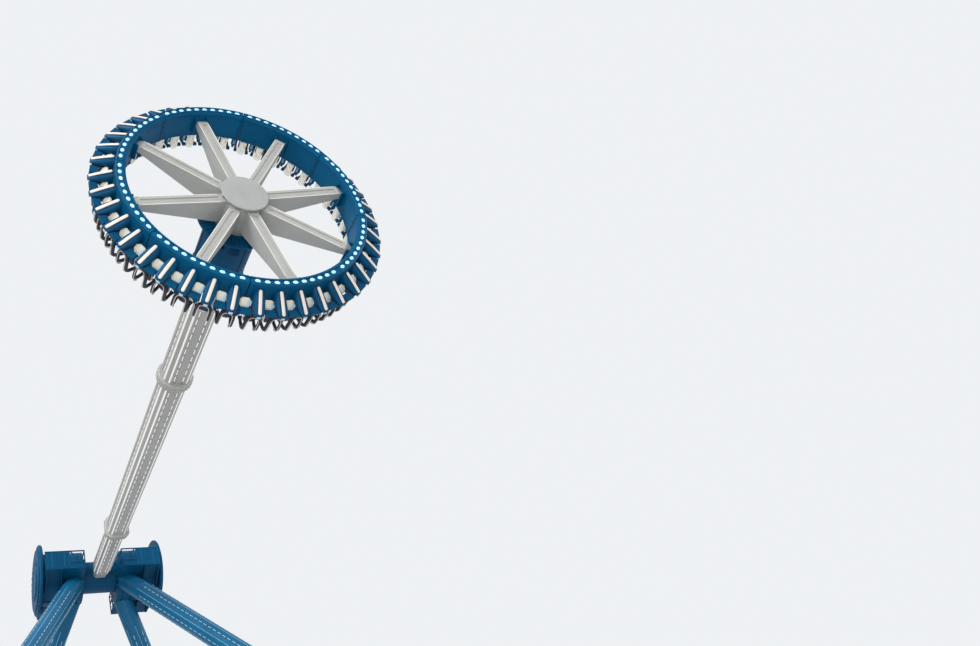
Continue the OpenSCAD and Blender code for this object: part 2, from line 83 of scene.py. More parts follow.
ring_in_r = 1.945
ring_out_r = 2.112
ring_deep = 0.510
lamp_circle_r = 2.042
lamp_floor = 0.016
cap_r = 0.402
cap_in = 0.094
cap_back = 0.110
hub_r = 0.36
spoke_half = 0.095
cheek_face = 0.1233
segments = 8
segment_turns = np.radians(45.0 * np.arange(segments))
seat_pitch = 8.8
lamp_pitch = 4.27
joint_turn = 22.5

# Sizes of the dressed forms

channel_w = 0.046
root_half = 0.216
arm_stretches = ((0.72, 2.82, root_half, root_half),
                 (3.14, 9.53, 0.238, 0.260),
                 (9.77, 12.92, arm_half, arm_half))
flange_half = 0.304
upper_r = 0.374

seat_wall = ring_out_r + 0.0003
back_in = ring_out_r - 0.074
back_top = ring_deep + 0.355
shell_half = 0.066
shell_foot = 0.556
pan_low = 0.104
pan_half = 0.098
restraint_side = 0.107
ring_top = ring_deep + 0.0005
bar_from, bar_reach, bar_low, bar_climb, bar_bow = 2.156, 0.294, 0.112, 0.150, 0.004
hinge_back, hinge_height = 0.034, 0.802
cover_out, cover_height = 0.113, 0.312
nose_out, nose_height = 0.366, 0.318
nose_lean = math.radians(-74)

# Places

four_signs = [(sx, sy) for sx in (-1, 1) for sy in (-1, 1)]


def turn_x(angle):
    """The turn by an angle about X, as three rows."""
    c, s = math.cos(angle), math.sin(angle)
    return np.array([[1, 0, 0], [0, c, -s], [0, s, c]])


def turns_z(angles):
    """One turn about Z for each angle, as a stack of three rows."""
    c, s, o = np.cos(angles), np.sin(angles), np.zeros_like(angles)
    return np.stack([np.stack([c, -s, o], -1), np.stack([s, c, o], -1), np.stack([o, o, o + 1], -1)], -2)


def per_segment(degrees):
    """Turns about Z, one for each of the given degrees counted from each ring segment's middle."""
    return turns_z((segment_turns[:, None] + np.radians(np.asarray(degrees, float))).ravel())


def on_arm(points):
    """From the arm's own frame, axis at the origin and arm down -Z, to where the arm is stored."""
    return points @ turn_x(-rest_angle).T + np.array([0, 0, swing_height])


def on_ring(points):
    """From the ring's own frame, bottom plane at z = 0 and arm above, to where the ring is stored."""
    turned_points = points @ turns_z(np.array([ring_turn]))[0].T
    return on_arm(turned_points - np.array([0, 0, arm_reach]))


def on_head(points):
    """From a frame centred on the swing axis to the stored one."""
    return points + np.array([0, 0, swing_height])


def as_stored(points):
    """Points that are already in the stored frame."""
    return points


# Surfaces, each a pair of points and faces


def skin(grid, around=True, along=False):
    """Quads over a grid of points [along, around], joined back to the start where it is closed."""
    n, m = grid.shape[:2]
    i = np.arange(n if along else n - 1)
    j = np.arange(m if around else m - 1)
    a, b = np.meshgrid(i, j, indexing="ij")
    a2, b2 = (a + 1) % n, (b + 1) % m
    faces = np.stack([a * m + b, a * m + b2, a2 * m + b2, a2 * m + b], -1).reshape(-1, 4)
    return grid.reshape(-1, 3), faces


def shut(grid):
    """A stack of rings with each end drawn in to its own middle."""
    ends = np.stack([np.repeat(grid[k].mean(0)[None], grid.shape[1], 0) for k in (0, -1)])
    return skin(np.concatenate([ends[:1], grid, ends[1:]]))


def levels(outlines, heights):
    """Flat outlines of (x, y) pairs, each lifted to its own height, as a stack of rings."""
    lifted = [np.concatenate([o, np.full((len(o), 1), h)], 1) for o, h in zip(outlines, heights)]
    return np.stack(lifted)


def join(shapes):
    """Several shapes as one."""
    starts = np.cumsum([0] + [len(points) for points, _ in shapes[:-1]])
    faces = [faces + start for (_, faces), start in zip(shapes, starts)]
    return np.concatenate([points for points, _ in shapes]), np.concatenate(faces)


def moved(shape, x, y, z):
    """The shape shifted along each axis."""
    return shape[0] + np.array([x, y, z]), shape[1]


def turned(shape, turn):
    """The shape turned by three rows."""
    return shape[0] @ turn.T, shape[1]


def placed(shape, place):
    """The shape with its points taken elsewhere by a function."""
    return place(shape[0]), shape[1]


def repeat(shape, turns, shifts=None):
    """The same shape once for each turn (three rows), each moved by its shift."""
    points, faces = shape
    copies = np.einsum("kij,pj->kpi", turns, points)
    if shifts is not None:
        copies = copies + np.asarray(shifts)[:, None, :]
    k, n = len(turns), len(points)
    numbers = faces[None] + (np.arange(k) * n)[:, None, None]
    return copies.reshape(-1, 3), numbers.reshape(-1, faces.shape[1])


def still(count):
    """A stack of turns that turn nothing."""
    return np.repeat(np.eye(3)[None], count, 0)


def round_angles(count):
    """Evenly spaced angles over one full turn."""
    return np.linspace(0, 2 * np.pi, count, endpoint=False)


def line(start, end, count):
    """Evenly spaced points from start to end."""
    t = np.linspace(0, 1, count)[:, None]
    return np.asarray(start, float) * (1 - t) + np.asarray(end, float) * t


def smooth(x, low, high):
    """An S-shaped step from 0 at low to 1 at high."""
    t = np.clip((x - low) / (high - low), 0, 1)
    return t * t * (3 - 2 * t)


def ellipse(a, b, sides=12, power=2.0):
    """A closed superellipse: |x/a| to the power plus |y/b| to the power is one."""
    c, s = np.cos(round_angles(sides)), np.sin(round_angles(sides))
    x = a * np.sign(c) * np.abs(c) ** (2 / power)
    y = b * np.sign(s) * np.abs(s) ** (2 / power)
    return np.stack([x, y], -1)


def revolve(profile, sides=24):
    """A profile of (radius, height) pairs carried round Z: x = r cos a, y = r sin a, z = height."""
    p = np.asarray(profile, float)
    a = round_angles(sides)
    grid = np.stack([p[:, :1] * np.cos(a), p[:, :1] * np.sin(a), np.repeat(p[:, 1:], sides, 1)], -1)
    return skin(grid)


def carried(path, side, up, section, scale=None):
    """A closed section of (side, up) pairs carried along a path, scaled at each point, ends drawn shut.

    Point (i, j) = path i + scale i times (section j's first part along side i + its second along up i).
    """
    path, section = np.asarray(path, float), np.asarray(section, float)
    n = len(path)
    scale = np.ones((n, 2)) if scale is None else np.asarray(scale, float).reshape(n, -1) * np.ones((1, 2))
    side, up = np.broadcast_to(side, (n, 3)), np.broadcast_to(up, (n, 3))
    grid = (path[:, None] + section[None, :, :1] * scale[:, None, :1] * side[:, None]
            + section[None, :, 1:] * scale[:, None, 1:] * up[:, None])
    ends = np.repeat(path[[0, -1]][:, None], grid.shape[1], 1)
    return skin(np.concatenate([ends[:1], grid, ends[1:]]))


def frames(path, reference):
    """Side and up at each point of a path: side is square to the path and the reference, up to both."""
    along = np.gradient(np.asarray(path, float), axis=0)
    along /= np.linalg.norm(along, axis=1, keepdims=True)
    side = np.cross(along, reference)
    side /= np.linalg.norm(side, axis=1, keepdims=True)
    return side, np.cross(side, along)


def rod(path, reference, a, b=None, sides=8, power=2.0, swell=1.0):
    """A rod of half-widths a and b along a path, its ends rounded as a quarter circle of radius a.

    The reference, one direction or one for each point, is square to half-width a; swell widens a.
    """
    path = np.asarray(path, float)
    reference = np.broadcast_to(np.asarray(reference, float), path.shape)
    wide = np.broadcast_to(np.asarray(swell, float), (len(path),))
    turn = np.radians([0.0, 30.0, 60.0])
    first, last = path[0] - path[1], path[-1] - path[-2]
    start = path[0] + first / np.linalg.norm(first) * a * np.cos(turn)[:, None]
    end = path[-1] + last / np.linalg.norm(last) * a * np.cos(turn[::-1])[:, None]
    narrow = np.concatenate([np.sin(turn) + 0.02, np.ones(len(path)), np.sin(turn[::-1]) + 0.02])
    path = np.concatenate([start, path, end])
    reference = np.concatenate([reference[:1].repeat(3, 0), reference, reference[-1:].repeat(3, 0)])
    wide = np.concatenate([wide[:1].repeat(3), wide, wide[-1:].repeat(3)])
    side, up = frames(path, reference)
    section = ellipse(a, a if b is None else b, sides, power)
    return carried(path, side, up, section, np.stack([narrow * wide, narrow], -1))


def rounded_corners(length, width, corner, count):
    """A rounded rectangle, point by point: the middle of each corner's arc and the direction out of it."""
    t = np.linspace(0, np.pi / 2, count)
    angles = np.concatenate([t + k * np.pi / 2 for k in range(4)])
    signs = np.array([[1, 1], [-1, 1], [-1, -1], [1, -1]])
    middles = np.repeat(signs * np.array([length / 2 - corner, width / 2 - corner]), count, 0)
    return middles, np.stack([np.cos(angles), np.sin(angles)], -1)


def slab(length, width, thick, corner, bevel, side_points=4):
    """A plate from z = 0 to its thickness: a rounded rectangle whose edges are drawn in by the bevel."""
    middles, reach = rounded_corners(length, width, corner, side_points)
    outlines = [middles + reach * (corner - inset) for inset in (bevel, 0.0, 0.0, bevel)]
    shut_end = np.zeros_like(middles)
    return skin(levels([shut_end, *outlines, shut_end], [0.0, 0.0, bevel, thick - bevel, thick, thick]))


def block(low, high, corner=0.010, bevel=0.004):
    """A box between two corner points, with rounded uprights and softened edges."""
    low, high = np.asarray(low, float), np.asarray(high, float)
    size, middle = high - low, (high + low) / 2
    return moved(slab(size[0], size[1], size[2], corner, bevel), middle[0], middle[1], low[2])


def wedge(near, far, low, high, half_near, half_far, bevel=0.006):
    """A deck plate from near to far, wider at its outer end, its edges drawn in above and below."""
    corners = np.array([[near, -half_near], [far, -half_far], [far, half_far], [near, half_near]])
    middle = corners.mean(0)
    drawn = middle + (corners - middle) * (1 - bevel / np.abs(corners - middle))
    return shut(levels([drawn, corners, corners, drawn], [low, low + bevel, high - bevel, high]))


def loop_bead(length, width, corner, half, count=10):
    """A bead in the plane z = 0: a small circle carried round a rounded rectangle."""
    middles, reach = rounded_corners(length, width, corner, count)
    section = ellipse(half, half, 6)
    x, y = (middles[:, k:k + 1] + reach[:, k:k + 1] * (corner + section[:, 0]) for k in (0, 1))
    return skin(np.stack([x, y, 0 * x + section[:, 1]], -1), True, True)


def oval_bead(wide_r, long_r, height, section, sides):
    """A bead about Z: a closed section of (outward, upward) pairs carried round an ellipse."""
    a = round_angles(sides)[:, None]
    out, up = section[:, 0], section[:, 1]
    grid = np.stack([(wide_r + out) * np.cos(a), (long_r + out) * np.sin(a), height + up + 0 * a], -1)
    return skin(grid, True, True)


def wall_bead(radius, height, half, sides=240):
    """A bead on a round wall: an oval, six tenths as deep as it is tall, carried round a circle about Z."""
    return oval_bead(radius, radius, height, ellipse(half, half * 0.6, 8)[:, ::-1], sides)


def bolt(across, tall=None):
    """A hexagon head with drawn-in corners on a round washer, standing along +Z on its seat."""
    r = across / 2
    h = 0.6 * across if tall is None else tall
    head = revolve([(0, 0), (r, 0), (r, h * 0.8), (r * 0.84, h), (0, h)], 6)
    washer = revolve([(0, 0), (r * 1.45, 0), (r * 1.5, h * 0.08), (r * 1.4, h * 0.2), (0, h * 0.2)], 12)
    return join([head, washer])


def facing(normals, upright=(0.0, 0.0, 1.0)):
    """Turns that take +Z to each normal, with +X square to the normal and to upright."""
    z = np.asarray(normals, float)
    z = z / np.linalg.norm(z, axis=-1, keepdims=True)
    x = np.cross(np.broadcast_to(upright, z.shape), z)
    x /= np.linalg.norm(x, axis=-1, keepdims=True)
    return np.stack([x, np.cross(z, x), z], -1)


def ring_of_bolts(radius, height, count, across, upward=0, start=0.0):
    """Bolts evenly round a circle about Z: standing outwards, or up or down where upward is 1 or -1."""
    a = start + round_angles(count)
    out = np.stack([np.cos(a), np.sin(a), 0 * a], -1)
    turns = facing(np.tile([1e-6, 0, float(upward)], (count, 1)), (0, 1.0, 0)) if upward else facing(out)
    return repeat(bolt(across), turns, out * radius + np.array([0, 0, height]))


# Pieces


def mesh_of(name, points, faces):
    """A mesh of points and faces."""
    mesh = bpy.data.meshes.new(name)
    mesh.from_pydata(np.asarray(points).tolist(), [], np.asarray(faces).tolist())
    return mesh


def in_scene(name, data):
    """A new object in the scene that holds a mesh, a lamp or a camera."""
    made = bpy.data.objects.new(name, data)
    bpy.context.scene.collection.objects.link(made)
    return made


def face_outwards(mesh, merge=False):
    """Turns a closed mesh's faces outwards, after its doubles are merged where that is asked for."""
    work = bmesh.new()
    work.from_mesh(mesh)
    if merge:
        bmesh.ops.remove_doubles(work, verts=work.verts, dist=2e-6)
        bmesh.ops.dissolve_degenerate(work, edges=work.edges, dist=1e-6)
    bmesh.ops.recalc_face_normals(work, faces=work.faces)
    work.to_mesh(mesh)
    work.free()


def piece(name, shape, material, body, place=as_stored, crease=35.0, marks=None):
    """Makes one object of a shape, merged, facing outwards, smooth up to the crease angle."""
    mesh = mesh_of(name, *placed(shape, place))
    for mark, values in (marks or {}).items():
        mesh.attributes.new(mark, "FLOAT", "POINT").data.foreach_set("value", np.asarray(values, np.float32))
    face_outwards(mesh, True)
    mesh.polygons.foreach_set("use_smooth", np.ones(len(mesh.polygons), bool))
    mesh.set_sharp_from_angle(angle=math.radians(crease))
    mesh.materials.append(material)
    made = in_scene(name, mesh)
    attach(made, body)
    return made


def gondola_piece(name, shape, material, crease=35.0, marks=None):
    """A piece given in the ring's own frame, which turns with the ring."""
    return piece(name, shape, material, "gondola", on_ring, crease, marks)


def arm_piece(name, shape, material):
    """A piece given in the arm's own frame, which swings with the arm."""
    return piece(name, shape, material, "pendulum", on_arm)


def head_piece(name, shape, material):
    """A piece given from the swing axis, which stands with the head."""
    return piece(name, shape, material, "structure", on_head)


def leg_piece(name, shape, material):
    """A piece given in the stored frame, which stands with the legs."""
    return piece(name, shape, material, "structure")


# Finishes


def fill_in(node, values):
    """Writes constant values to a node's sockets."""
    for key, value in values.items():
        node.inputs[key].default_value = value


class Finish:
    """A material with one shader, and short words for the nodes that its pattern needs."""

    def __init__(self, name, colour, roughness, metallic=0.0):
        self.material = bpy.data.materials.new(name)
        self.material.use_nodes = True
        self.tree = self.material.node_tree
        self.shader = self.tree.nodes["Principled BSDF"]
        fill_in(self.shader, {"Base Color": (*colour, 1), "Roughness": roughness, "Metallic": metallic})
        self.place = self.node("TexCoord", {}).outputs["Object"]

    def node(self, kind, values):
        """A new node of a kind, with constant values in some of its sockets."""
        made = self.tree.nodes.new("ShaderNode" + kind)
        fill_in(made, values)
        return made

    def link(self, source, socket):
        """Joins an output to an input."""
        self.tree.links.new(source, socket)

    def stretched(self, x, y, z):
        """Object coordinates scaled along each axis."""
        node = self.node("Mapping", {"Scale": (x, y, z)})
        self.link(self.place, node.inputs["Vector"])
        return node.outputs["Vector"]

    def noise(self, scale, detail=3.0, roughness=0.55, where=None):
        """Cloudy noise from 0 to 1, as many waves to a metre as its scale."""
        node = self.node("TexNoise", {"Scale": scale, "Detail": detail, "Roughness": roughness})
        self.link(where or self.place, node.inputs["Vector"])
        return node.outputs["Fac"]

    def cells(self, scale, feature="F1"):
        """Distance to the middle of the nearest cell."""
        node = self.node("TexVoronoi", {"Scale": scale})
        node.feature = feature
        self.link(self.place, node.inputs["Vector"])
        return node.outputs["Distance"]

    def mark(self, name):
        """A value that the piece's points carry."""
        node = self.node("Attribute", {})
        node.attribute_name = name
        return node.outputs["Fac"]

    def ramp(self, value, low, high, at_low, at_high):
        """Takes a value from low to high to another pair of values."""
        node = self.node("MapRange", {"From Min": low, "From Max": high, "To Min": at_low, "To Max": at_high})
        self.link(value, node.inputs["Value"])
        return node.outputs["Result"]

    def mix(self, factor, a, b):
        """A colour between a and b; each is a colour or another node's output."""
        node = self.node("Mix", {})
        node.data_type = "RGBA"
        self.link(factor, node.inputs["Factor"])
        for key, value in ((6, a), (7, b)):
            if isinstance(value, tuple):
                node.inputs[key].default_value = (*value, 1)
            else:
                self.link(value, node.inputs[key])
        return node.outputs[2]

    def colour(self, source):
        """Colours the finish with a node's output."""
        self.link(source, self.shader.inputs["Base Color"])

    def rough(self, source):
        """Roughens the finish with a node's output."""
        self.link(source, self.shader.inputs["Roughness"])

    def bump(self, height, strength, distance):
        """Raises the surface by a node's output, as far as the distance in metres."""
        node = self.node("Bump", {"Strength": strength, "Distance": distance})
        self.link(height, node.inputs["Height"])
        self.link(node.outputs["Normal"], self.shader.inputs["Normal"])


def tone(colour, by):
    """A colour made lighter or darker."""
    return tuple(min(1.0, c * by) for c in colour)


def sprayed_paint(name, colour, roughness=0.32, wear=0.10, coat=0.25, shine=0.18):
    """Sprayed steel: cloudy tone, rain streaks down Z, dust specks and an orange-peel surface."""
    f = Finish(name, colour, roughness)
    cloud = f.ramp(f.noise(0.7, 4), 0.35, 0.65, 0.0, 1.0)
    streak = f.ramp(f.noise(1.0, 5, 0.6, f.stretched(9, 9, 0.55)), 0.52, 0.72, 0.0, 1.6 * wear)
    speck = f.ramp(f.noise(38.0, 2), 0.68, 0.80, 0.0, 0.25 * wear)
    base = f.mix(cloud, tone(colour, 0.90), tone(colour, 1.10))
    worn = f.mix(streak, base, tone(colour, 0.62))
    f.colour(f.mix(speck, worn, (0.55, 0.55, 0.52)))
    f.rough(f.ramp(f.noise(5.0, 3), 0.3, 0.7, roughness - 0.06, roughness + 0.10))
    f.bump(f.noise(160.0, 2), 0.12, 0.0008)
    fill_in(f.shader, {"Specular IOR Level": shine, "Coat Weight": coat, "Coat Roughness": 0.15})
    return f.material


def rolled_paint(name, colour, roughness=0.42):
    """Pale rolled paint on plate: soft mottling, faint weld-line soot and fine roller stipple."""
    f = Finish(name, colour, roughness)
    mottle = f.ramp(f.noise(1.6, 5, 0.62), 0.32, 0.68, 0.0, 1.0)
    soot = f.ramp(f.noise(1.0, 5, 0.65, f.stretched(3.5, 3.5, 1.2)), 0.55, 0.80, 0.0, 0.28)
    f.colour(f.mix(soot, f.mix(mottle, tone(colour, 0.93), tone(colour, 1.05)), tone(colour, 0.60)))
    f.rough(f.ramp(f.noise(7.0, 3), 0.3, 0.7, roughness - 0.05, roughness + 0.12))
    f.bump(f.noise(110.0, 3), 0.18, 0.0010)
    return f.material


def moulded_shell(name, grey, white):
    """Glass-fibre shell: satin cream with fine fleck, glossy where marked 'crown', with a faint painted glow
    that brightens it where it lies in shade.
    """
    f = Finish(name, grey, 0.40)
    fleck = f.ramp(f.cells(260.0), 0.05, 0.35, 0.35, 0.0)
    cloud = f.ramp(f.noise(6.0, 4), 0.3, 0.7, 0.0, 1.0)
    body = f.mix(fleck, f.mix(cloud, tone(grey, 0.93), tone(grey, 1.06)), tone(grey, 0.72))
    f.colour(f.mix(f.mark("crown"), body, white))
    f.rough(f.ramp(f.mark("crown"), 0.0, 1.0, 0.46, 0.24))
    # Painted light: the shell glows faintly in its white, though it is no lamp, to lift it out of shade.
    fill_in(f.shader, {"Emission Color": (*white, 1), "Emission Strength": 0.17})
    f.bump(f.noise(240.0, 2), 0.10, 0.0005)
    return f.material


def grained_vinyl(name, colour, grain, roughness):
    """Vinyl with a leather grain, with painted shade in its sewn seams, a little paler where it is rubbed."""
    f = Finish(name, colour, roughness)
    rub = f.ramp(f.noise(4.0, 4), 0.35, 0.7, 0.0, 1.0)
    body = f.mix(rub, tone(colour, 0.85), tone(colour, 1.35))
    # Painted shade: the vinyl is darkened in its sewn channels, where shade falls in the crease.
    f.colour(f.mix(f.mark("seam_shade"), body, tone(colour, 0.35)))
    f.rough(f.ramp(rub, 0.0, 1.0, roughness + 0.06, roughness - 0.08))
    f.bump(f.cells(grain, "SMOOTH_F1"), 0.35, 0.0012)
    fill_in(f.shader, {"Sheen Weight": 0.12})
    return f.material


def glowing_lens(name, colour, glow, ribs):
    """A milky lens lit from inside, with a fine prism pattern and a glossy face."""
    f = Finish(name, colour, 0.22)
    cells = f.ramp(f.cells(ribs), 0.0, 0.6, 1.0, 0.72)
    f.colour(f.mix(cells, tone(colour, 0.72), colour))
    f.link(f.mix(cells, tone(colour, 0.70), colour), f.shader.inputs["Emission Color"])
    fill_in(f.shader, {"Emission Strength": glow})
    f.bump(f.cells(ribs), 0.25, 0.0010)
    return f.material


def zinc(name, colour=(0.50, 0.51, 0.52)):
    """Galvanised steel with a faint spangle of crystal cells."""
    f = Finish(name, colour, 0.38, 0.85)
    f.colour(f.mix(f.ramp(f.cells(55.0), 0.0, 0.7, 0.0, 1.0), tone(colour, 0.80), tone(colour, 1.15)))
    f.rough(f.ramp(f.noise(30.0, 2), 0.3, 0.7, 0.30, 0.50))
    f.bump(f.noise(190.0, 2), 0.15, 0.0006)
    return f.material


def dull_rubber(name, colour=(0.02, 0.02, 0.022)):
    """Black rubber with a dusty bloom."""
    f = Finish(name, colour, 0.75)
    f.colour(f.mix(f.ramp(f.noise(20.0, 4), 0.45, 0.75, 0.0, 1.0), colour, tone(colour, 2.6)))
    f.bump(f.noise(300.0, 2), 0.2, 0.0006)
    return f.material


deep_blue = sprayed_paint("ring_blue_paint", (0.0004, 0.088, 0.196), 0.42, 0.12, 0.0, 0.11)
head_blue = sprayed_paint("head_blue_paint", (0.0003, 0.068, 0.155), 0.40, 0.14, 0.0, 0.12)
leg_blue = sprayed_paint("leg_blue_paint", (0.004, 0.118, 0.245), 0.34, 0.22, 0.06, 0.26)
pale_blue = sprayed_paint("bracket_blue_paint", (0.160, 0.420, 0.620), 0.34, 0.10, 0.10)
ice_blue = sprayed_paint("plate_pale_blue_paint", (0.480, 0.700, 0.820), 0.30, 0.08, 0.15)
arm_grey = rolled_paint("arm_grey_paint", (0.430, 0.420, 0.392))
spoke_grey = rolled_paint("spoke_grey_paint", (0.430, 0.430, 0.405))
cap_grey = rolled_paint("cap_grey_paint", (0.370, 0.380, 0.365))
shell_cream = moulded_shell("seat_shell_moulding", (0.870, 0.845, 0.765), (0.900, 0.885, 0.830))
navy_vinyl = grained_vinyl("cushion_navy_vinyl", (0.010, 0.022, 0.075), 420.0, 0.46)
pad_black = grained_vinyl("restraint_pad_skin", (0.014, 0.018, 0.030), 560.0, 0.52)
cream_plate = sprayed_paint("cream_plate_paint", (0.800, 0.770, 0.660), 0.34, 0.08, 0.05)
cream_tube = sprayed_paint("cream_tube_paint", (0.760, 0.700, 0.610), 0.28, 0.05)
rim_lens = glowing_lens("rim_lamp_lens", (0.450, 0.765, 0.920), 0.38, 160.0)
bar_lens = glowing_lens("light_bar_lens", (0.780, 0.690, 0.600), 0.10, 220.0)
edge_lens = glowing_lens("edge_light_lens", (0.850, 0.840, 0.800), 0.34, 200.0)
leg_lens = glowing_lens("leg_light_lens", (0.430, 0.640, 0.780), 0.10, 200.0)
bolt_zinc = zinc("bolt_zinc")
grating_zinc = zinc("grating_zinc", (0.36, 0.38, 0.40))
gasket = dull_rubber("gasket_rubber")

node_finishes = {
    "leg_": leg_blue, "bearing_housing": head_blue, "drive_drum": head_blue, "end_cover": head_blue,
    "gallery": head_blue, "railing": head_blue, "swing_tube": head_blue, "arm_": arm_grey,
    "lower_collar": arm_grey, "upper_collar": arm_grey, "drive_housing": head_blue, "hub": spoke_grey,
    "hub_cap": cap_grey, "guard_ring": head_blue, "spokes": spoke_grey, "ring_segment": deep_blue,
    "seats": shell_cream, "pan_cushions": navy_vinyl, "back_cushions": navy_vinyl,
    "shoulder_bars": pad_black, "chest_frames": pad_black,
}
for node_name, node_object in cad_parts.items():
    start = max((key for key in node_finishes if node_name.startswith(key)), key=len)
    node_object.data.materials.clear()
    node_object.data.materials.append(node_finishes[start])

# Ring: lamps, joints and bolts

lamp_half_l, lamp_half_w, lamp_swell = 0.045, 0.0335, 0.014
bezel_half_l, bezel_half_w, bezel_bead = 0.0475, 0.0345, 0.003
strap_half, strap_half_t = 0.034, 0.004
strap_bolt_side = 0.022
strap_bolt_heights = (0.10, 0.20, 0.30, 0.40)
wall_bolt_degrees = (-19, -16, -13, -10, 10, 13, 16, 19)
wall_bolt_heights = (0.11, 0.42)
inwards = [-1.0, 0, 0]


def lamp_dome(rings=5, sides=14):
    """Half an ellipsoid hanging down from z = 0: height falls as the root of one less radius squared."""
    k = np.linspace(0, 1, rings)[:, None] * np.pi / 2
    a = round_angles(sides)
    rim = np.sin(k)
    x, y = lamp_half_w * rim * np.cos(a), lamp_half_l * rim * np.sin(a)
    grid = np.stack([x, y, -lamp_swell * np.cos(k) + 0 * a], -1)
    return skin(np.concatenate([grid, np.zeros((1, sides, 3))]))


lamp_turned = per_segment(lamp_pitch * (np.arange(10) - 4.5))
lamp_spots = lamp_turned @ np.array([lamp_circle_r, 0, lamp_floor])
gondola_piece("rim_lamps", repeat(lamp_dome(), lamp_turned, lamp_spots), rim_lens)
bezel = oval_bead(bezel_half_w, bezel_half_l, 0, ellipse(bezel_bead, bezel_bead, 6), 16)
gondola_piece("rim_lamp_bezels", repeat(bezel, lamp_turned, lamp_spots), head_blue)


def joint_strap():
    """The strap over a gap between two segments: a flat section carried up the wall and over the top."""
    path = np.array([[ring_in_r - strap_half_t, 0, 0.05], [ring_in_r - strap_half_t, 0, ring_deep - 0.03],
                     [ring_in_r + 0.018, 0, ring_deep + 0.003], [ring_out_r - 0.02, 0, ring_deep + 0.003]])
    outward = frames(path, (0, 1, 0))[0]
    return carried(path, (0, 1.0, 0), outward, ellipse(strap_half, strap_half_t, 12, 5.0))


joint_turned = per_segment([joint_turn])
gondola_piece("joint_straps", repeat(joint_strap(), joint_turned), head_blue)
strap_bolt_spots = [[ring_in_r - 2 * strap_half_t, s * strap_bolt_side, z]
                    for s in (-1, 1) for z in strap_bolt_heights]
strap_bolts = repeat(bolt(0.014, 0.008), facing([inwards] * len(strap_bolt_spots)), strap_bolt_spots)
gondola_piece("joint_strap_bolts", repeat(strap_bolts, joint_turned), head_blue)

wall_beads = [wall_bead(ring_in_r, 0.060, 0.010), wall_bead(ring_in_r, ring_deep - 0.050, 0.008)]
gondola_piece("inner_wall_beads", join(wall_beads), head_blue)

wall_bolt_turned = per_segment(wall_bolt_degrees)
wall_bolts = [repeat(bolt(0.012, 0.006), wall_bolt_turned @ facing([inwards])[0],
                     wall_bolt_turned @ np.array([ring_in_r - 0.001, 0, z])) for z in wall_bolt_heights]
gondola_piece("inner_wall_bolts", join(wall_bolts), head_blue)

# Spokes and hub

spoke_from, spoke_to = cap_r + 0.010, ring_in_r - 0.095
spoke_low_in, spoke_low_out = 0.175, 0.140
tip_bolt_reaches = (0.018, 0.052)
tip_bolt_heights = (0.15, 0.23, 0.31, 0.38)
neck_in, neck_out = hub_r - 0.004, hub_r + 0.006
neck_low, neck_high = cap_back + 0.001, 0.172
cover_plate_r = 0.396


def spoke_bottom(r):
    """Height of a spoke's bottom face at radius r, a straight fall from the hub cap to the ring."""
    return np.interp(r, [spoke_from, spoke_to], [spoke_low_in, spoke_low_out])


def spoke_beads(sideways, half, tall):
    """Two rods along a spoke's bottom face, one on either side of its middle."""
    r = np.array([cap_r + 0.055, 0.9, 1.4, ring_in_r - 0.150])
    return join([rod(np.stack([r, np.full(4, s * sideways), spoke_bottom(r)], -1), (0, 0, 1.0), half, tall)
                 for s in (-1, 1)])


def root_lug():
    """A folded lug under the hub cap: a foot against the hub's wall, an upright and a bolt through it."""
    stand = np.array([[1, 0, 0], [0, 0, 1.0], [0, -1.0, 0]])
    return join([moved(slab(0.062, 0.070, 0.008, 0.008, 0.002), 0.016, 0, 0),
                 moved(turned(slab(0.050, 0.056, 0.010, 0.008, 0.002), stand), 0.010, 0, 0.030),
                 moved(turned(bolt(0.022, 0.012), stand), 0.014, 0.010, 0.030)])


spoke_turned = turns_z(segment_turns)
edge_beads = spoke_beads(spoke_half - 0.006, 0.007, 0.005)
gondola_piece("spoke_edge_beads", repeat(edge_beads, spoke_turned), cream_plate)
middle_beads = spoke_beads(0.038, 0.004, 0.004)
gondola_piece("spoke_middle_beads", repeat(middle_beads, spoke_turned), spoke_grey)

tip_spots = np.array([[ring_in_r - x, s * cheek_face, z]
                      for x in tip_bolt_reaches for s in (-1, 1) for z in tip_bolt_heights])
tip_bolts = repeat(bolt(0.020), facing(np.sign(tip_spots) * np.array([0, 1.0, 0])), tip_spots)
gondola_piece("spoke_tip_bolts", repeat(tip_bolts, spoke_turned), head_blue)

lug_turned = turns_z(np.radians(22.5 * np.arange(16)))
lugs = repeat(root_lug(), lug_turned, lug_turned @ np.array([hub_r, 0, neck_low]))
gondola_piece("cap_root_lugs", lugs, cap_grey)
neck_band = revolve([(neck_in, neck_low), (neck_out, neck_low), (neck_out, neck_high), (neck_in, neck_high),
                     (neck_in, neck_low)], 72)
gondola_piece("hub_neck_band", neck_band, spoke_grey)
cover_plate = revolve([(0, cap_in - 0.0010), (0.20, cap_in - 0.0008),
                       (cover_plate_r - 0.006, cap_in - 0.0003), (cover_plate_r, cap_in + 0.001),
                       (cover_plate_r, cap_in + 0.006), (cover_plate_r - 0.006, cap_in + 0.0105),
                       (0, cap_in + 0.0105)], 96)
gondola_piece("cap_cover_plate", cover_plate, cap_grey)

# Seats

seat_turned = per_segment(seat_pitch * np.arange(-2, 3))
seat_nodes = [f"seats_{k}" for k in range(1, segments + 1)]


def at_seats(shape):
    """The shape once at each of the forty seats."""
    return repeat(shape, seat_turned)


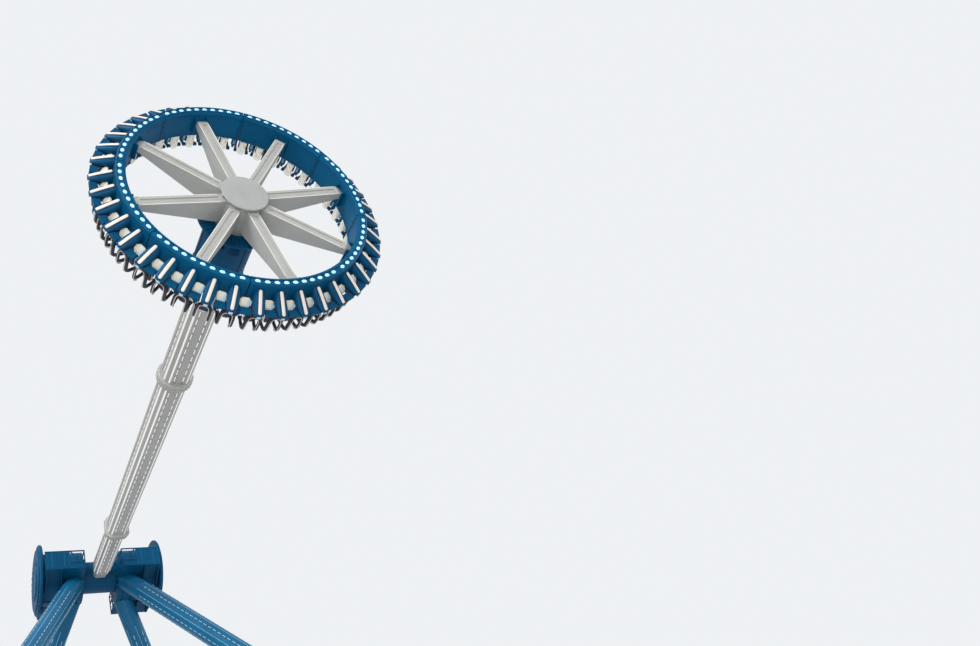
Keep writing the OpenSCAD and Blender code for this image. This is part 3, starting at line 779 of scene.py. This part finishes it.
def back_shell(rows=26, around=36):
    """The moulded back: a superellipse section carried up, rounded off at its foot and at its crown.

    The half-width falls as a superellipse of the height at both ends, the outer face leans in as it
    rises, a bell curve draws in a waist, and a ledge steps out where the white crown begins.
    """
    crown_tall, foot_tall, ledge_out = 0.075, 0.055, 0.020
    waist_down, waist_tall, waist_deep = 0.165, 0.045, 0.13
    t = (1 - np.cos(np.linspace(0, np.pi, rows))) / 2
    z = shell_foot + (back_top - shell_foot) * t
    crown_part = np.clip((z - (back_top - crown_tall)) / crown_tall, 0, 1)
    foot_part = np.clip((shell_foot + foot_tall - z) / foot_tall, 0, 1)
    draw = np.maximum((1 - crown_part ** 2.8) ** (1 / 2.8) * (1 - foot_part ** 2.6) ** (1 / 2.6), 0.03)
    ledge = (1 + ledge_out * smooth(z, back_top - 0.092, back_top - 0.086)) / (1 + ledge_out)
    outer = np.interp(z, [shell_foot, back_top], [seat_wall + 0.038, seat_wall + 0.006])
    middle, half = (outer + back_in) / 2, (outer - back_in) / 2
    section = ellipse(1.0, 1.0, around, 4.2)
    waist = 1 - waist_deep * np.exp(-((z - (back_top - waist_down)) / waist_tall) ** 2)
    wide = shell_half * ledge * draw * waist
    deep = half * ledge * draw ** 0.6
    return shut(np.stack([middle[:, None] + deep[:, None] * section[:, 1], wide[:, None] * section[:, 0],
                          z[:, None] + 0 * section[:, 0]], -1))


def bucket(rows=22, around=26):
    """The seat pan's moulding: sections carried outwards from the ring's wall, round below and squarer above.

    Its underside climbs in a straight line, its rim falls to the nose and is scooped out between
    the sides, and its half-width is drawn in at the nose as a superellipse of the reach.
    """
    t = np.linspace(0, 1, rows)
    x = 0.001 + 0.372 * t
    under = np.interp(x, [0, 0.04, 0.36, 0.374], np.add(pan_low, [0.010, 0.020, 0.172, 0.190]))
    over = np.interp(x, [0, 0.05, 0.10, 0.30, 0.374], [0.330, 0.330, 0.300, 0.322, 0.322])
    half = (over - under) / 2 * np.maximum((1 - t ** 7) ** (1 / 7), 0.05)
    nose = np.maximum((1 - (0.995 * t) ** 5) ** (1 / 5), 0.05)
    wide = pan_half * nose * np.interp(t, [0, 0.25, 1], [0.93, 1.0, 0.94])
    section, below = ellipse(1.0, 1.0, around, 3.4), ellipse(1.0, 1.0, around, 2.0)
    section = np.where(section[:, 1:] < 0, below, section)
    across, upward = section[:, 0], section[:, 1]
    scoop = 0.030 * np.maximum(upward, 0) ** 2 * (1 - np.abs(across)) * np.sin(np.pi * t[:, None]) ** 0.5
    return shut(np.stack([seat_wall + x[:, None] + 0 * across, wide[:, None] * across,
                          (over + under)[:, None] / 2 + half[:, None] * upward - scoop], -1))


def seat_spine():
    """The bracket that carries a seat: an upright behind the shell and a wider plate on the ring's wall."""
    upright = block((back_in + 0.008, -0.052, ring_top), (seat_wall + 0.036, 0.048, shell_foot + 0.050))
    wall_plate = block((seat_wall, -0.074, 0.326), (seat_wall + 0.041, 0.074, 0.540), 0.012)
    return join([upright, wall_plate])


shell_forms = at_seats(back_shell())
crown = smooth(shell_forms[0][:, 2], back_top - 0.091, back_top - 0.087)
shells = gondola_piece("seat_shells", shell_forms, shell_cream, 50, {"crown": crown})
buckets = gondola_piece("seat_buckets", at_seats(bucket()), head_blue, 50)
spines = gondola_piece("seat_spines", at_seats(seat_spine()), head_blue)
for made in (shells, buckets, spines):
    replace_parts(made, *seat_nodes)


def light_bar(rise, *section):
    """A rod under a bucket, along a straight climb that is bowed by a few millimetres as half a sine wave."""
    t = np.linspace(0, 1, 9)
    climb = bar_low + bar_climb * t - bar_bow * np.sin(np.pi * t)
    path = np.stack([bar_from + bar_reach * t, 0 * t, climb], -1)
    return rod(path + np.array([0, 0, rise]), (0, 0, 1.0), *section)


gondola_piece("seat_light_bars", at_seats(light_bar(0, 0.0275, 0.013, 12, 2.3)), bar_lens)
gondola_piece("seat_light_bar_holders", at_seats(light_bar(0.010, 0.0305, 0.007, 10, 3.0)), head_blue)


def even(knots, count):
    """Evenly spaced points along a line of knots, softened at the knots; extra columns are carried along."""
    knots = np.asarray(knots, float)
    gone = np.concatenate([[0], np.cumsum(np.linalg.norm(np.diff(knots[:, :3], axis=0), axis=1))])
    at = np.linspace(0, gone[-1], count)
    path = np.stack([np.interp(at, gone, knots[:, k]) for k in range(knots.shape[1])], -1)
    held = np.concatenate([path[:1], path, path[-1:]])
    return (held[:-2] + 2 * held[1:-1] + held[2:]) / 4


def cushion(knots, half_wide, half_thick, channels, rows=40, around=28):
    """A padded cushion: a crowned section carried along its middle line, pinched at each sewn channel.

    Half-thickness and half-width fall to the two ends as superellipses; at each channel the
    thickness is drawn in by a narrow bell curve. The second result is 1 at a channel and 0 away from it.
    """
    channel_half, channel_deep = 0.022, 0.42
    path = even([(seat_wall + x, 0, z) for x, z in knots], rows)
    t = np.linspace(0, 1, rows)
    ends = np.maximum(1 - np.abs(2 * t - 1) ** 9, 0.02) ** 0.5
    bell = ((t[:, None] - np.array(channels)) / channel_half) ** 2
    wide = 0.5 + 0.5 * ends - 0.03 * np.sin(np.pi * t) ** 2
    thick = ends * (1 - channel_deep * np.exp(-bell).sum(1))
    side, up = frames(path, (1.0, 0, 1.0))
    # 1 at a channel, where the vinyl takes painted shade in the crease.
    seam_shade = np.exp(-4 * bell).sum(1)
    marked = np.repeat(np.concatenate([seam_shade[:1], seam_shade, seam_shade[-1:]]), around)
    section = ellipse(half_wide, half_thick, around, 2.7)
    return carried(path, side, up, section, np.stack([wide, thick], -1)), np.clip(marked, 0, 1)


def stuffed(shape, swell, most):
    """Blows a closed pad up with cloth under pressure for twenty frames, no point moved further than most."""
    points, faces = shape
    mesh = mesh_of("pad_form", points, faces)
    face_outwards(mesh)
    form = in_scene("pad_form", mesh)
    cloth = form.modifiers.new("cloth", "CLOTH")
    cloth.settings.use_pressure = True
    cloth.settings.uniform_pressure_force = swell
    cloth.settings.effector_weights.gravity = 0
    cloth.settings.tension_stiffness = cloth.settings.compression_stiffness = 20
    cloth.settings.quality = 6
    cloth.point_cache.frame_start, cloth.point_cache.frame_end = 1, 20
    for step in range(1, 21):
        bpy.context.scene.frame_set(step)
    shown = form.evaluated_get(bpy.context.evaluated_depsgraph_get())
    blown = np.zeros(len(points) * 3, np.float32)
    shown.data.vertices.foreach_get("co", blown)
    bpy.context.scene.frame_set(1)
    bpy.data.objects.remove(form)
    move = blown.reshape(-1, 3) - points
    reach = np.linalg.norm(move, axis=1, keepdims=True)
    return points + move * np.minimum(1, most / np.maximum(reach, 1e-9)), faces


def sewn(name, replaced, knots, half_wide, half_thick, channels):
    """The same cushion on all the seats, blown up as cloth, in place of the solid ones."""
    one, seam_shade = cushion(knots, half_wide, half_thick, channels)
    one = stuffed(one, 4.0, 0.006)
    marks = {"seam_shade": np.tile(seam_shade, len(seat_turned))}
    made = gondola_piece(name, at_seats(one), navy_vinyl, 60, marks)
    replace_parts(made, replaced)


pan_line = [(0.050, 0.350), (0.095, 0.338), (0.210, 0.343), (0.334, 0.350)]
back_line = [(0.062, 0.388), (0.062, 0.540), (0.045, 0.680), (0.034, 0.798)]
pan_seams, back_seams = (0.30, 0.65), (0.22, 0.44, 0.70)
sewn("pan_cushions_sewn", "pan_cushions", pan_line, half_wide=0.084, half_thick=0.021, channels=pan_seams)
sewn("back_cushions_sewn", "back_cushions", back_line, half_wide=0.078, half_thick=0.021, channels=back_seams)


def horseshoe(count, out=0.0, narrow=1.0, skip=0):
    """A shoulder restraint's line and its outward direction: over one shoulder, down, round the lap and back.

    Each knot is a distance from the seat's wall, one to the side, a height and the outward
    direction's angle above level. The line may stand out from its knots, be drawn in or skip its first knots.
    """
    side = restraint_side
    knots = np.array([[-0.040, side, 0.803, 90], [0.060, side, 0.812, 90], [0.130, side, 0.811, 78],
                      [0.176, side, 0.796, 55], [0.200, side, 0.768, 28], [0.209, side, 0.730, 8],
                      [0.214, 0.106, 0.650, 2], [0.215, 0.104, 0.590, 0], [0.211, 0.094, 0.535, -4],
                      [0.206, 0.074, 0.509, -8], [0.203, 0.038, 0.499, -8], [0.2025, 0.0, 0.497, -8]])[skip:]
    back = (knots * np.array([1, -1, 1, 1]))[-2::-1]
    line4 = even(np.concatenate([knots, back]), count)
    lean = np.radians(line4[:, 3])
    normal = np.stack([np.cos(lean), 0 * lean, np.sin(lean)], -1)
    path = line4[:, :3] * np.array([1, narrow, 1]) + np.array([seat_wall, 0, 0])
    return path + normal * out, normal


def knuckle():
    """The restraint's hinge beside a shell: a stepped barrel on a pin, between two cheeks."""
    barrel = revolve([(0, -0.034), (0.011, -0.034), (0.011, -0.019), (0.022, -0.019), (0.025, -0.015),
                      (0.025, 0.015), (0.022, 0.019), (0.011, 0.019), (0.011, 0.022), (0, 0.022)], 18)
    cheek = slab(0.066, 0.058, 0.006, 0.014, 0.002)
    return join([barrel, moved(cheek, 0, -0.004, -0.0255), moved(cheek, 0, -0.004, 0.0185)])


def knuckle_pair():
    """The hinges on both sides of a seat, their pins along the seat's width."""
    across_seat = np.array([[1.0, 0, 0], [0, 0, -1.0], [0, 1.0, 0]])
    points, faces = knuckle()
    pair = []
    for s in (1, -1):
        hinge = turned((points * np.array([1, 1, s]), faces), across_seat)
        pair.append(moved(hinge, seat_wall - hinge_back, s * restraint_side, hinge_height))
    return join(pair)


pad_path, pad_normal = horseshoe(64)
lap = smooth(np.abs(np.linspace(-1, 1, 64)), 0.30, 0.10)
pad_tube = rod(pad_path, pad_normal, a=0.0235, b=0.028, sides=14, power=2.5, swell=1 + 0.35 * lap)
tube_path, tube_normal = horseshoe(60, out=0.033, narrow=0.80, skip=2)
no_seam = {"seam_shade": np.zeros(len(pad_tube[0]) * len(seat_turned))}
pads = gondola_piece("restraint_pads", at_seats(pad_tube), pad_black, 60, no_seam)
rim_tube = rod(tube_path, tube_normal, 0.0062)
rims = gondola_piece("restraint_rims", at_seats(rim_tube), cream_tube)
hinges = gondola_piece("restraint_hinges", at_seats(knuckle_pair()), head_blue)
for node in ("shoulder_bars", "chest_frames"):
    for made in (pads, rims, hinges):
        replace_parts(made, node)

# Backs: what is seen of a seat from inside the ring

handle_path = [(0, -0.026, 0.700), (0, -0.026, 0.770), (0, 0.020, 0.782), (0, 0.030, 0.740)]
handle = rod(handle_path, (1.0, 0, 0), 0.0045)
plate = block((-0.0035, 0.004, 0.640), (0.004, 0.034, 0.672), 0.001, 0.001)
handle_and_plate = join([moved(handle, back_in - 0.002, 0, 0), moved(plate, back_in, 0, 0)])
gondola_piece("seat_back_handles", at_seats(handle_and_plate), cream_plate)

edge_points, edge_faces = loop_bead(0.230, 0.084, 0.020, 0.0022, 6)
panel_edge = moved((edge_points[:, ::-1], edge_faces), back_in, 0, 0.695)
no_crown = {"crown": np.zeros(len(edge_points) * len(seat_turned))}
gondola_piece("seat_back_panel_edges", at_seats(panel_edge), shell_cream, 35, no_crown)

# Between the seats: posts, decks and covers

between_turned = per_segment([*(seat_pitch * (np.arange(4) - 1.5)), joint_turn])
cover_slant = np.array([[0.698, 0, 0.716], [0, 1.0, 0], [0.716, 0, -0.698]])


def between_seats(shape):
    """The shape once in each gap between two seats."""
    return repeat(shape, between_turned)


def slanted(shape, along):
    """A cover set between two seats, leaning back by about forty-five degrees and facing out and down."""
    return moved(turned(moved(shape, along, 0, 0), cover_slant), seat_wall + cover_out, 0, cover_height)


post = join([block((back_in + 0.020, -0.042, ring_top), (seat_wall + 0.016, 0.042, 0.700)),
             block((back_in + 0.034, -0.020, 0.690), (seat_wall + 0.002, 0.020, 0.760))])
gondola_piece("hinge_posts", between_seats(post), deep_blue)
inward = np.array([[0, 0, -1.0], [0, 1.0, 0], [1.0, 0, 0]])
post_plate = moved(turned(slab(0.100, 0.046, 0.006, 0.010, 0.002), inward), back_in + 0.020, 0, 0.620)
gondola_piece("hinge_post_plates", between_seats(post_plate), pale_blue)
deck = wedge(seat_wall + 0.222, seat_wall + 0.350, low=0.290, high=0.336, half_near=0.076, half_far=0.090)
gondola_piece("between_seat_decks", between_seats(deck), head_blue)
cover = slanted(slab(0.150, 0.188, 0.030, corner=0.046, bevel=0.026, side_points=2), 0)
gondola_piece("between_seat_covers", between_seats(cover), cream_plate)
cheek = slab(0.112, 0.056, 0.034, corner=0.020, bevel=0.012, side_points=2)
cheek_plate = slanted(moved(cheek, 0, -0.050, 0.001), 0.010)
gondola_piece("between_seat_cheeks", between_seats(cheek_plate), ice_blue)

# Belt anchors under each seat's nose, leaning with the moulding

nose_turn = np.array([[math.cos(nose_lean), 0, math.sin(nose_lean)], [0, 1, 0],
                      [-math.sin(nose_lean), 0, math.cos(nose_lean)]])


def on_nose(shape):
    """A flat shape laid against the underside of a seat's nose."""
    return moved(turned(shape, nose_turn), seat_wall + nose_out, 0, nose_height)


anchor_rim = moved(loop_bead(0.066, 0.058, 0.010, 0.0035, 5), 0, 0, 0.005)
anchor_plate = join([slab(0.060, 0.052, 0.004, 0.010, 0.001), anchor_rim])
belt_slot = block((-0.008, -0.015, 0.0035), (0.010, 0.015, 0.0055), 0.002, 0.0005)
gondola_piece("belt_brackets", at_seats(on_nose(anchor_plate)), ice_blue)
gondola_piece("belt_slots", at_seats(on_nose(belt_slot)), gasket)

# Arm

edge_inset = 0.004
dash_pitch, dash_len = 0.222, 0.130


def half_at(stretch, down):
    """The arm's half-width at a distance down a stretch, a straight taper from end to end."""
    near, far, half_near, half_far = stretch
    return half_near + (half_far - half_near) * (np.asarray(down) - near) / (far - near)


def dashes(stretch, x, y, outward):
    """Short rounded light bars in a line down a stretch, one every pitch, on the channels' floors.

    x and y are shares of the half-width there; the share 1 stands for the channel's floor.
    """
    near, far = stretch[:2]
    one = rod(line((0, 0, dash_len / 2), (0, 0, -dash_len / 2), 3), outward, 0.011, 0.006, 8, 3.0)
    count = int((far - near - 0.10 - dash_len) / dash_pitch) + 1
    down = (near + far) / 2 + (np.arange(count) - (count - 1) / 2) * dash_pitch
    half = half_at(stretch, down)
    floor = half + channel_floor + 0.003 - arm_half
    spots = np.stack([share * (floor if abs(share) == 1 else half) for share in (x, y)] + [-down], -1)
    return repeat(one, still(count), spots)


def edge_line(stretch, sx, sy, swap):
    """A light line down a stretch just inside one of the arm's eight corners."""
    ends = []
    for down in (stretch[0] + 0.02, stretch[1] - 0.02):
        half = float(half_at(stretch, down))
        x, y = half - edge_inset, half * (1 - arm_chamfer / arm_half) - edge_inset
        ends.append((sx * (y if swap else x), sy * (x if swap else y), -down))
    return rod(line(*ends, 6), (sx, sy, 0), 0.022, 0.009)


dash_rows, edge_lines = [], []
for stretch in arm_stretches:
    for s in (-1, 1):
        dash_rows += [dashes(stretch, x, s, (0, float(s), 0)) for x in (-1 / 3, 1 / 3)]
        dash_rows.append(dashes(stretch, s, 0, (float(s), 0, 0)))
    edge_lines += [edge_line(stretch, sx, sy, swap) for sx, sy in four_signs for swap in (False, True)]
arm_piece("arm_light_dashes", join(dash_rows), edge_lens)
arm_piece("arm_edge_lines", join(edge_lines), edge_lens)


def arm_length(stations):
    """A length of arm: its grooved eight-cornered section, scaled at each (half-width, height)."""
    h, c, g, w = arm_half, arm_half - arm_chamfer, channel_floor, channel_w / 2
    third = h / 3
    grooves = [(x + k * w, y) for x in (third, -third) for k, y in ((1, h), (1, g), (-1, g), (-1, h))]
    flank = [(-h, c), (-h, third), (-g, third), (-g, -third), (-h, -third), (-h, -c)]
    half_round = np.array([(c, h), *grooves, (-c, h), *flank])
    section = np.concatenate([half_round, -half_round])
    return shut(levels([section * half / h for half, _ in stations], [z for _, z in stations]))


def both_faces(profile):
    """A profile of (reach, height) pairs below a collar's middle, and then its mirror image above it."""
    return [*profile, *((reach, -height) for reach, height in reversed(profile))]


def eight_sided(profile):
    """Eight-cornered rings about the arm, one for each (half-width, height)."""
    outlines = []
    for half, _ in profile:
        c = half - arm_chamfer - 0.6 * (half - arm_half)
        half_round = np.array([(half, c), (c, half), (-c, half), (-half, c)])
        outlines.append(np.concatenate([half_round, -half_round]))
    return shut(levels(outlines, [z for _, z in profile]))


root_stations = [(0.265, -2.975), (root_half, -2.86), (root_half, -0.68), (0.182, -0.47), (0.182, -0.36)]
root = arm_piece("arm_root_stretch", arm_length(root_stations), arm_grey)
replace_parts(root, "arm_root")
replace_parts(root, "arm_lower")
middle_stations = [(arm_stretches[1][3], -9.546), (arm_stretches[1][2], -3.124)]
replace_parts(arm_piece("arm_middle_stretch", arm_length(middle_stations), arm_grey), "arm_middle")

lower_profile = both_faces([(0.271, -0.0755), (0.296, -0.068), (flange_half, -0.060), (flange_half, -0.014),
                            (0.290, -0.010)])
lower = moved(eight_sided(lower_profile), 0, 0, -lower_collar_at)
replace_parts(arm_piece("lower_collar_flanges", lower, arm_grey), "lower_collar")
upper_profile = both_faces([(0, -0.106), (0.330, -0.106), (0.348, -0.100), (0.364, -0.086), (upper_r, -0.064),
                            (upper_r, -0.014), (0.366, -0.008)])
upper = moved(revolve(upper_profile, 72), 0, 0, -upper_collar_at)
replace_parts(arm_piece("upper_collar_flanges", upper, arm_grey), "upper_collar")

first_bolt = math.radians(7.5)
collar_bolts = [ring_of_bolts(upper_r - 0.002, z - upper_collar_at, count=24, across=0.022, start=first_bolt)
                for z in (-0.047, 0.047)]
flat_spots = np.array([[flange_half - 0.001, y, -lower_collar_at + z]
                       for y in (-0.165, -0.055, 0.055, 0.165) for z in (-0.037, 0.037)])
for turn in turns_z(np.pi / 2 * np.arange(4)):
    collar_bolts.append(repeat(bolt(0.024), turn @ facing([[1.0, 0, 0]] * 8), flat_spots @ turn.T))
arm_piece("collar_bolts", join(collar_bolts), arm_grey)

# Drive housing


def wrapped(shape, radius, turn, height):
    """A flat shape laid on a cylinder: its x becomes an arc length, its y a height, its z a radius."""
    points, faces = shape
    a, r = turn + points[:, 0] / radius, radius + points[:, 2]
    return np.stack([r * np.cos(a), r * np.sin(a), height + points[:, 1]], -1), faces


def three_around(first, shape, radius, height):
    """The shape wrapped on the drive housing three times, a third of a turn apart."""
    return [wrapped(shape, radius, turn, height) for turn in np.radians(first + 120.0 * np.arange(3))]


panels = three_around(30.0, loop_bead(0.34, 0.52, 0.06, 0.005), drive_r, -(drive_from + drive_to) / 2 + 0.08)
arm_piece("drive_access_panels", join(panels), leg_blue)

latch_lid = moved(slab(0.09, 0.06, 0.012, 0.010, 0.003), 0, 0, 0.028)
latch = join([slab(0.12, 0.09, 0.028, 0.012, 0.004), latch_lid])
latches = three_around(0.0, latch, drive_r + 0.010, -drive_to + 0.24)
arm_piece("drive_latch_boxes", join(latches), head_blue)

fins = join([moved(slab(0.012, 0.16, 0.016, 0.004, 0.002), 0.030 * k, 0, 0) for k in range(-3, 4)])
louvres = three_around(90.0, fins, drive_r, -drive_to + 0.26)
arm_piece("drive_louvres", join(louvres), head_blue)

rim_bolts = [ring_of_bolts(drive_r + 0.016, -drive_to + 0.054, count=48, across=0.020),
             ring_of_bolts(drive_r + 0.012, -drive_from - 0.020, count=36, across=0.018)]
arm_piece("drive_rim_bolts", join(rim_bolts), head_blue)

# Head


def both_ends(shape):
    """The shape, its Z laid along the swing axis, and its half turn about Z, for the two ends of the head."""
    points, faces = shape[0][:, [2, 0, 1]], shape[1]
    return join([(points, faces), (points * np.array([-1, -1, 1]), faces)])


def four_galleries(shape):
    """The shape at the front and back galleries on both ends: mirrored in X, in Y, and in both."""
    points, faces = shape
    return join([(points * np.array([sx, sy, 1]), faces if sx * sy > 0 else faces[:, ::-1])
                 for sx, sy in four_signs])


cover_face, boss_face = drum_to + 0.078, drum_to + 0.154
cover_bolts = [both_ends(ring_of_bolts(cover_r - 0.075, cover_face, count=36, across=0.030, upward=1)),
               both_ends(ring_of_bolts(0.44, boss_face, count=16, across=0.036, upward=1))]
head_piece("end_cover_bolts", join(cover_bolts), leg_blue)
flange_bolts = ring_of_bolts(0.575, housing_from, count=24, across=0.034, upward=-1)
head_piece("housing_flange_bolts", both_ends(flange_bolts), leg_blue)
seams = (housing_from + 0.02, housing_to - 0.015, housing_to + 0.02, drum_to - 0.06)
head_piece("drum_seam_beads", join([both_ends(wall_bead(drum_r, x, 0.012, 72)) for x in seams]), head_blue)
cover_rings = [both_ends(wall_bead(cover_r - 0.135, drum_to + 0.118, 0.010, 96)),
               both_ends(wall_bead(0.56, drum_to + 0.121, 0.008, 72)),
               both_ends(wall_bead(cover_r - 0.026, cover_face, 0.009, 96))]
head_piece("end_cover_rings", join(cover_rings), leg_blue)

grate_h = gallery_floor + 0.003
grate_from, grate_to = gallery_from + 0.03, gallery_to - 0.03
rail_y = gallery_y - 0.013
rail_heights = (gallery_floor + 0.21, gallery_floor + 0.38)
rib_y = gallery_y - 0.006
rib_low, rib_high = gallery_floor + 0.04, rail_top - 0.04
panel_from = gallery_from + bay_l
upwards, sideways = (0, 0, 1.0), (0, 1.0, 0)


def strip(start, end, *section):
    """A straight rod between two points of a gallery."""
    return rod(line(start, end, 3), *section)


grate_bars = [strip((x, 0.74, grate_h), (x, gallery_y - 0.035, grate_h), upwards, 0.004, 0.006, 6, 4.0)
              for x in np.arange(gallery_from + 0.05, grate_to, 0.040)]
cross_bars = [strip((grate_from, y, grate_h), (grate_to, y, grate_h), upwards, 0.004, 0.004, 6, 4.0)
              for y in np.arange(0.76, gallery_y - 0.05, 0.055)]
head_piece("gallery_gratings", four_galleries(join(grate_bars + cross_bars)), grating_zinc)

mid_rails = [strip((gallery_from + 0.013, rail_y, z), (panel_from, rail_y, z), upwards, 0.009)
             for z in rail_heights]
panel_ribs = [strip((x, rib_y, rib_low), (x, rib_y, rib_high), sideways, 0.010, 0.006, 8, 3.0)
              for x in (panel_from + 0.15, panel_from + 0.48)]
frame_points, frame_faces = loop_bead(0.60, 0.46, 0.03, 0.006)
panel_frame = moved((frame_points[:, [0, 2, 1]], frame_faces),
                    panel_from + 0.33, gallery_y - 0.007, (gallery_floor + rail_top) / 2)
rails_and_ribs = join([*mid_rails, *panel_ribs, panel_frame])
head_piece("gallery_rails_and_ribs", four_galleries(rails_and_ribs), leg_blue)

# Legs

leg_spans = ((0.9, leg_len / 2 - 0.12), (leg_len / 2 + 0.12, leg_len - 1.15))


def leg_frame(sx, sy):
    """Foot point, direction up the leg, and two directions square to it: outward and sideways."""
    head = np.array([sx * leg_head[0], sy * leg_head[1], leg_drop])
    foot = head + leg_drop * np.array([sx * leg_splay[0], sy * leg_splay[1], -1.0])
    up = (head - foot) / np.linalg.norm(head - foot)
    side = np.cross([0, 0, 1.0], up)
    side /= np.linalg.norm(side)
    return foot, up, np.cross(up, side), side


def six_around(out, side, first):
    """Six directions out of a leg, sixty degrees apart."""
    return [math.cos(turn) * out + math.sin(turn) * side for turn in np.radians(first + 60.0 * np.arange(6))]


def leg_edge(foot, up, normal, low, high):
    """A pale line up one side of a leg."""
    spot = foot + normal * (leg_r - 0.002)
    return rod(line(spot + up * low, spot + up * high, 4), normal, 0.009, 0.006, 6)


def leg_dash_row(foot, up, normal, low, high):
    """Short light bars in a line up one side of a leg, each a slab with few faces."""
    dash = turned(slab(0.015, 0.120, 0.006, 0.006, 0.002, 2), facing([normal], up)[0])
    at = np.arange(low + 0.1, high - 0.1, 0.19)
    return repeat(dash, still(len(at)), foot + normal * (leg_r - 0.001) + up * at[:, None])


stud = revolve([(0, 0.04), (0.024, 0.04), (0.024, 0.115), (0.020, 0.120), (0, 0.120)], 14)
nut_and_stud = join([bolt(0.085, 0.045), stud])
anchor_corners = anchor_half * np.array([[x, y, 0] for x, y in four_signs])
leg_edges, leg_dashes, splice_bolts, anchor_nuts = [], [], [], []
for sx, sy in four_signs:
    foot, up, out, side = leg_frame(sx, sy)
    for span in leg_spans:
        leg_edges += [leg_edge(foot, up, normal, *span) for normal in six_around(out, side, -150.0)]
        leg_dashes += [leg_dash_row(foot, up, normal, *span) for normal in six_around(out, side, 0.0)]
    a = round_angles(20)[:, None]
    ring = np.cos(a) * out + np.sin(a) * side
    for way in (-1, 1):
        spots = foot + up * (leg_len / 2 + way * splice_half) + ring * splice_bolt_r
        splice_bolts.append(repeat(bolt(0.040), facing(np.tile(up * way, (20, 1)), side), spots))
    anchor_nuts.append(repeat(nut_and_stud, still(4), foot + np.array([0, 0, foot_top]) + anchor_corners))
leg_piece("leg_edge_lines", join(leg_edges), pale_blue)
leg_piece("leg_light_dashes", join(leg_dashes), leg_lens)
leg_piece("leg_splice_bolts", join(splice_bolts), bolt_zinc)
leg_piece("foot_anchor_nuts", join(anchor_nuts), bolt_zinc)

# Stage, light and camera

floor_half, floor_height = 2500.0, -0.002


def studio_floor():
    """A wide, pale, matt floor with a very faint cloud in its tone."""
    f = Finish("studio_floor", (0.80, 0.80, 0.80), 0.9)
    f.colour(f.mix(f.ramp(f.noise(0.05, 2), 0.3, 0.7, 0.0, 1.0), (0.78, 0.78, 0.785), (0.82, 0.82, 0.82)))
    corners = [(-floor_half, -floor_half, floor_height), (floor_half, -floor_half, floor_height),
               (floor_half, floor_half, floor_height), (-floor_half, floor_half, floor_height)]
    mesh = mesh_of("studio_floor", corners, [(0, 1, 2, 3)])
    mesh.materials.append(f.material)
    in_scene("studio_floor", mesh)


def studio_air():
    """A world that is seen paler than it lights: the seen colour straight on and through what is clear."""
    world = bpy.data.worlds.new("studio_air")
    bpy.context.scene.world = world
    world.use_nodes = True
    air = world.node_tree
    seen = air.nodes["Background"]
    fill_in(seen, {"Color": (0.86, 0.88, 0.90, 1), "Strength": 1.0})
    lighting = air.nodes.new("ShaderNodeBackground")
    fill_in(lighting, {"Color": (0.90, 0.94, 1.0, 1), "Strength": 0.55})
    rays = air.nodes.new("ShaderNodeLightPath")
    either = air.nodes.new("ShaderNodeMath")
    either.operation = "MAXIMUM"
    choose = air.nodes.new("ShaderNodeMixShader")
    for source, socket in ((rays.outputs["Is Camera Ray"], either.inputs[0]),
                           (rays.outputs["Is Transmission Ray"], either.inputs[1]),
                           (either.outputs[0], choose.inputs["Fac"]),
                           (lighting.outputs["Background"], choose.inputs[1]),
                           (seen.outputs["Background"], choose.inputs[2]),
                           (choose.outputs["Shader"], air.nodes["World Output"].inputs["Surface"])):
        air.links.new(source, socket)


def soft_sun(name, strength, softness, towards):
    """A wide, even light that shines along a direction."""
    data = bpy.data.lights.new(name, "SUN")
    data.energy = strength
    data.angle = math.radians(softness)
    turn = np.eye(4)
    turn[:3, :3] = facing([-np.asarray(towards, float)])[0]
    in_scene(name, data).matrix_world = Matrix(turn.tolist())


def low_front_lamp():
    """A large soft lamp near the ground, turned up at the ring and the arm."""
    data = bpy.data.lights.new("low_front_lamp", "SPOT")
    data.energy = 3600
    data.spot_size = math.radians(74)
    data.spot_blend = 0.6
    data.shadow_soft_size = 3.0
    lamp = in_scene("low_front_lamp", data)
    lamp.location = (-7.0, -27.0, 3.5)
    lamp.rotation_euler = (math.radians(120), 0, math.radians(-24))


def camera_below():
    """The camera near the ground in front of the ride, looking up under the ring."""
    data = bpy.data.cameras.new("camera")
    data.sensor_width = 36
    data.lens = 30.4
    data.shift_x = 0.194
    data.clip_end = 6000
    camera = in_scene("camera", data)
    camera.location = (-4.257, -19.953, 1.450)
    camera.rotation_euler = tuple(math.radians(v) for v in (141.631, 16.118, -16.716))
    bpy.context.scene.camera = camera


studio_floor()
studio_air()
soft_sun("key_from_front_left", 2.1, 35, (0.62, 0.62, -0.48))
soft_sun("fill_from_right", 0.7, 60, (-0.85, 0.30, -0.35))
low_front_lamp()
camera_below()
bpy.context.scene.view_settings.view_transform = "Standard"
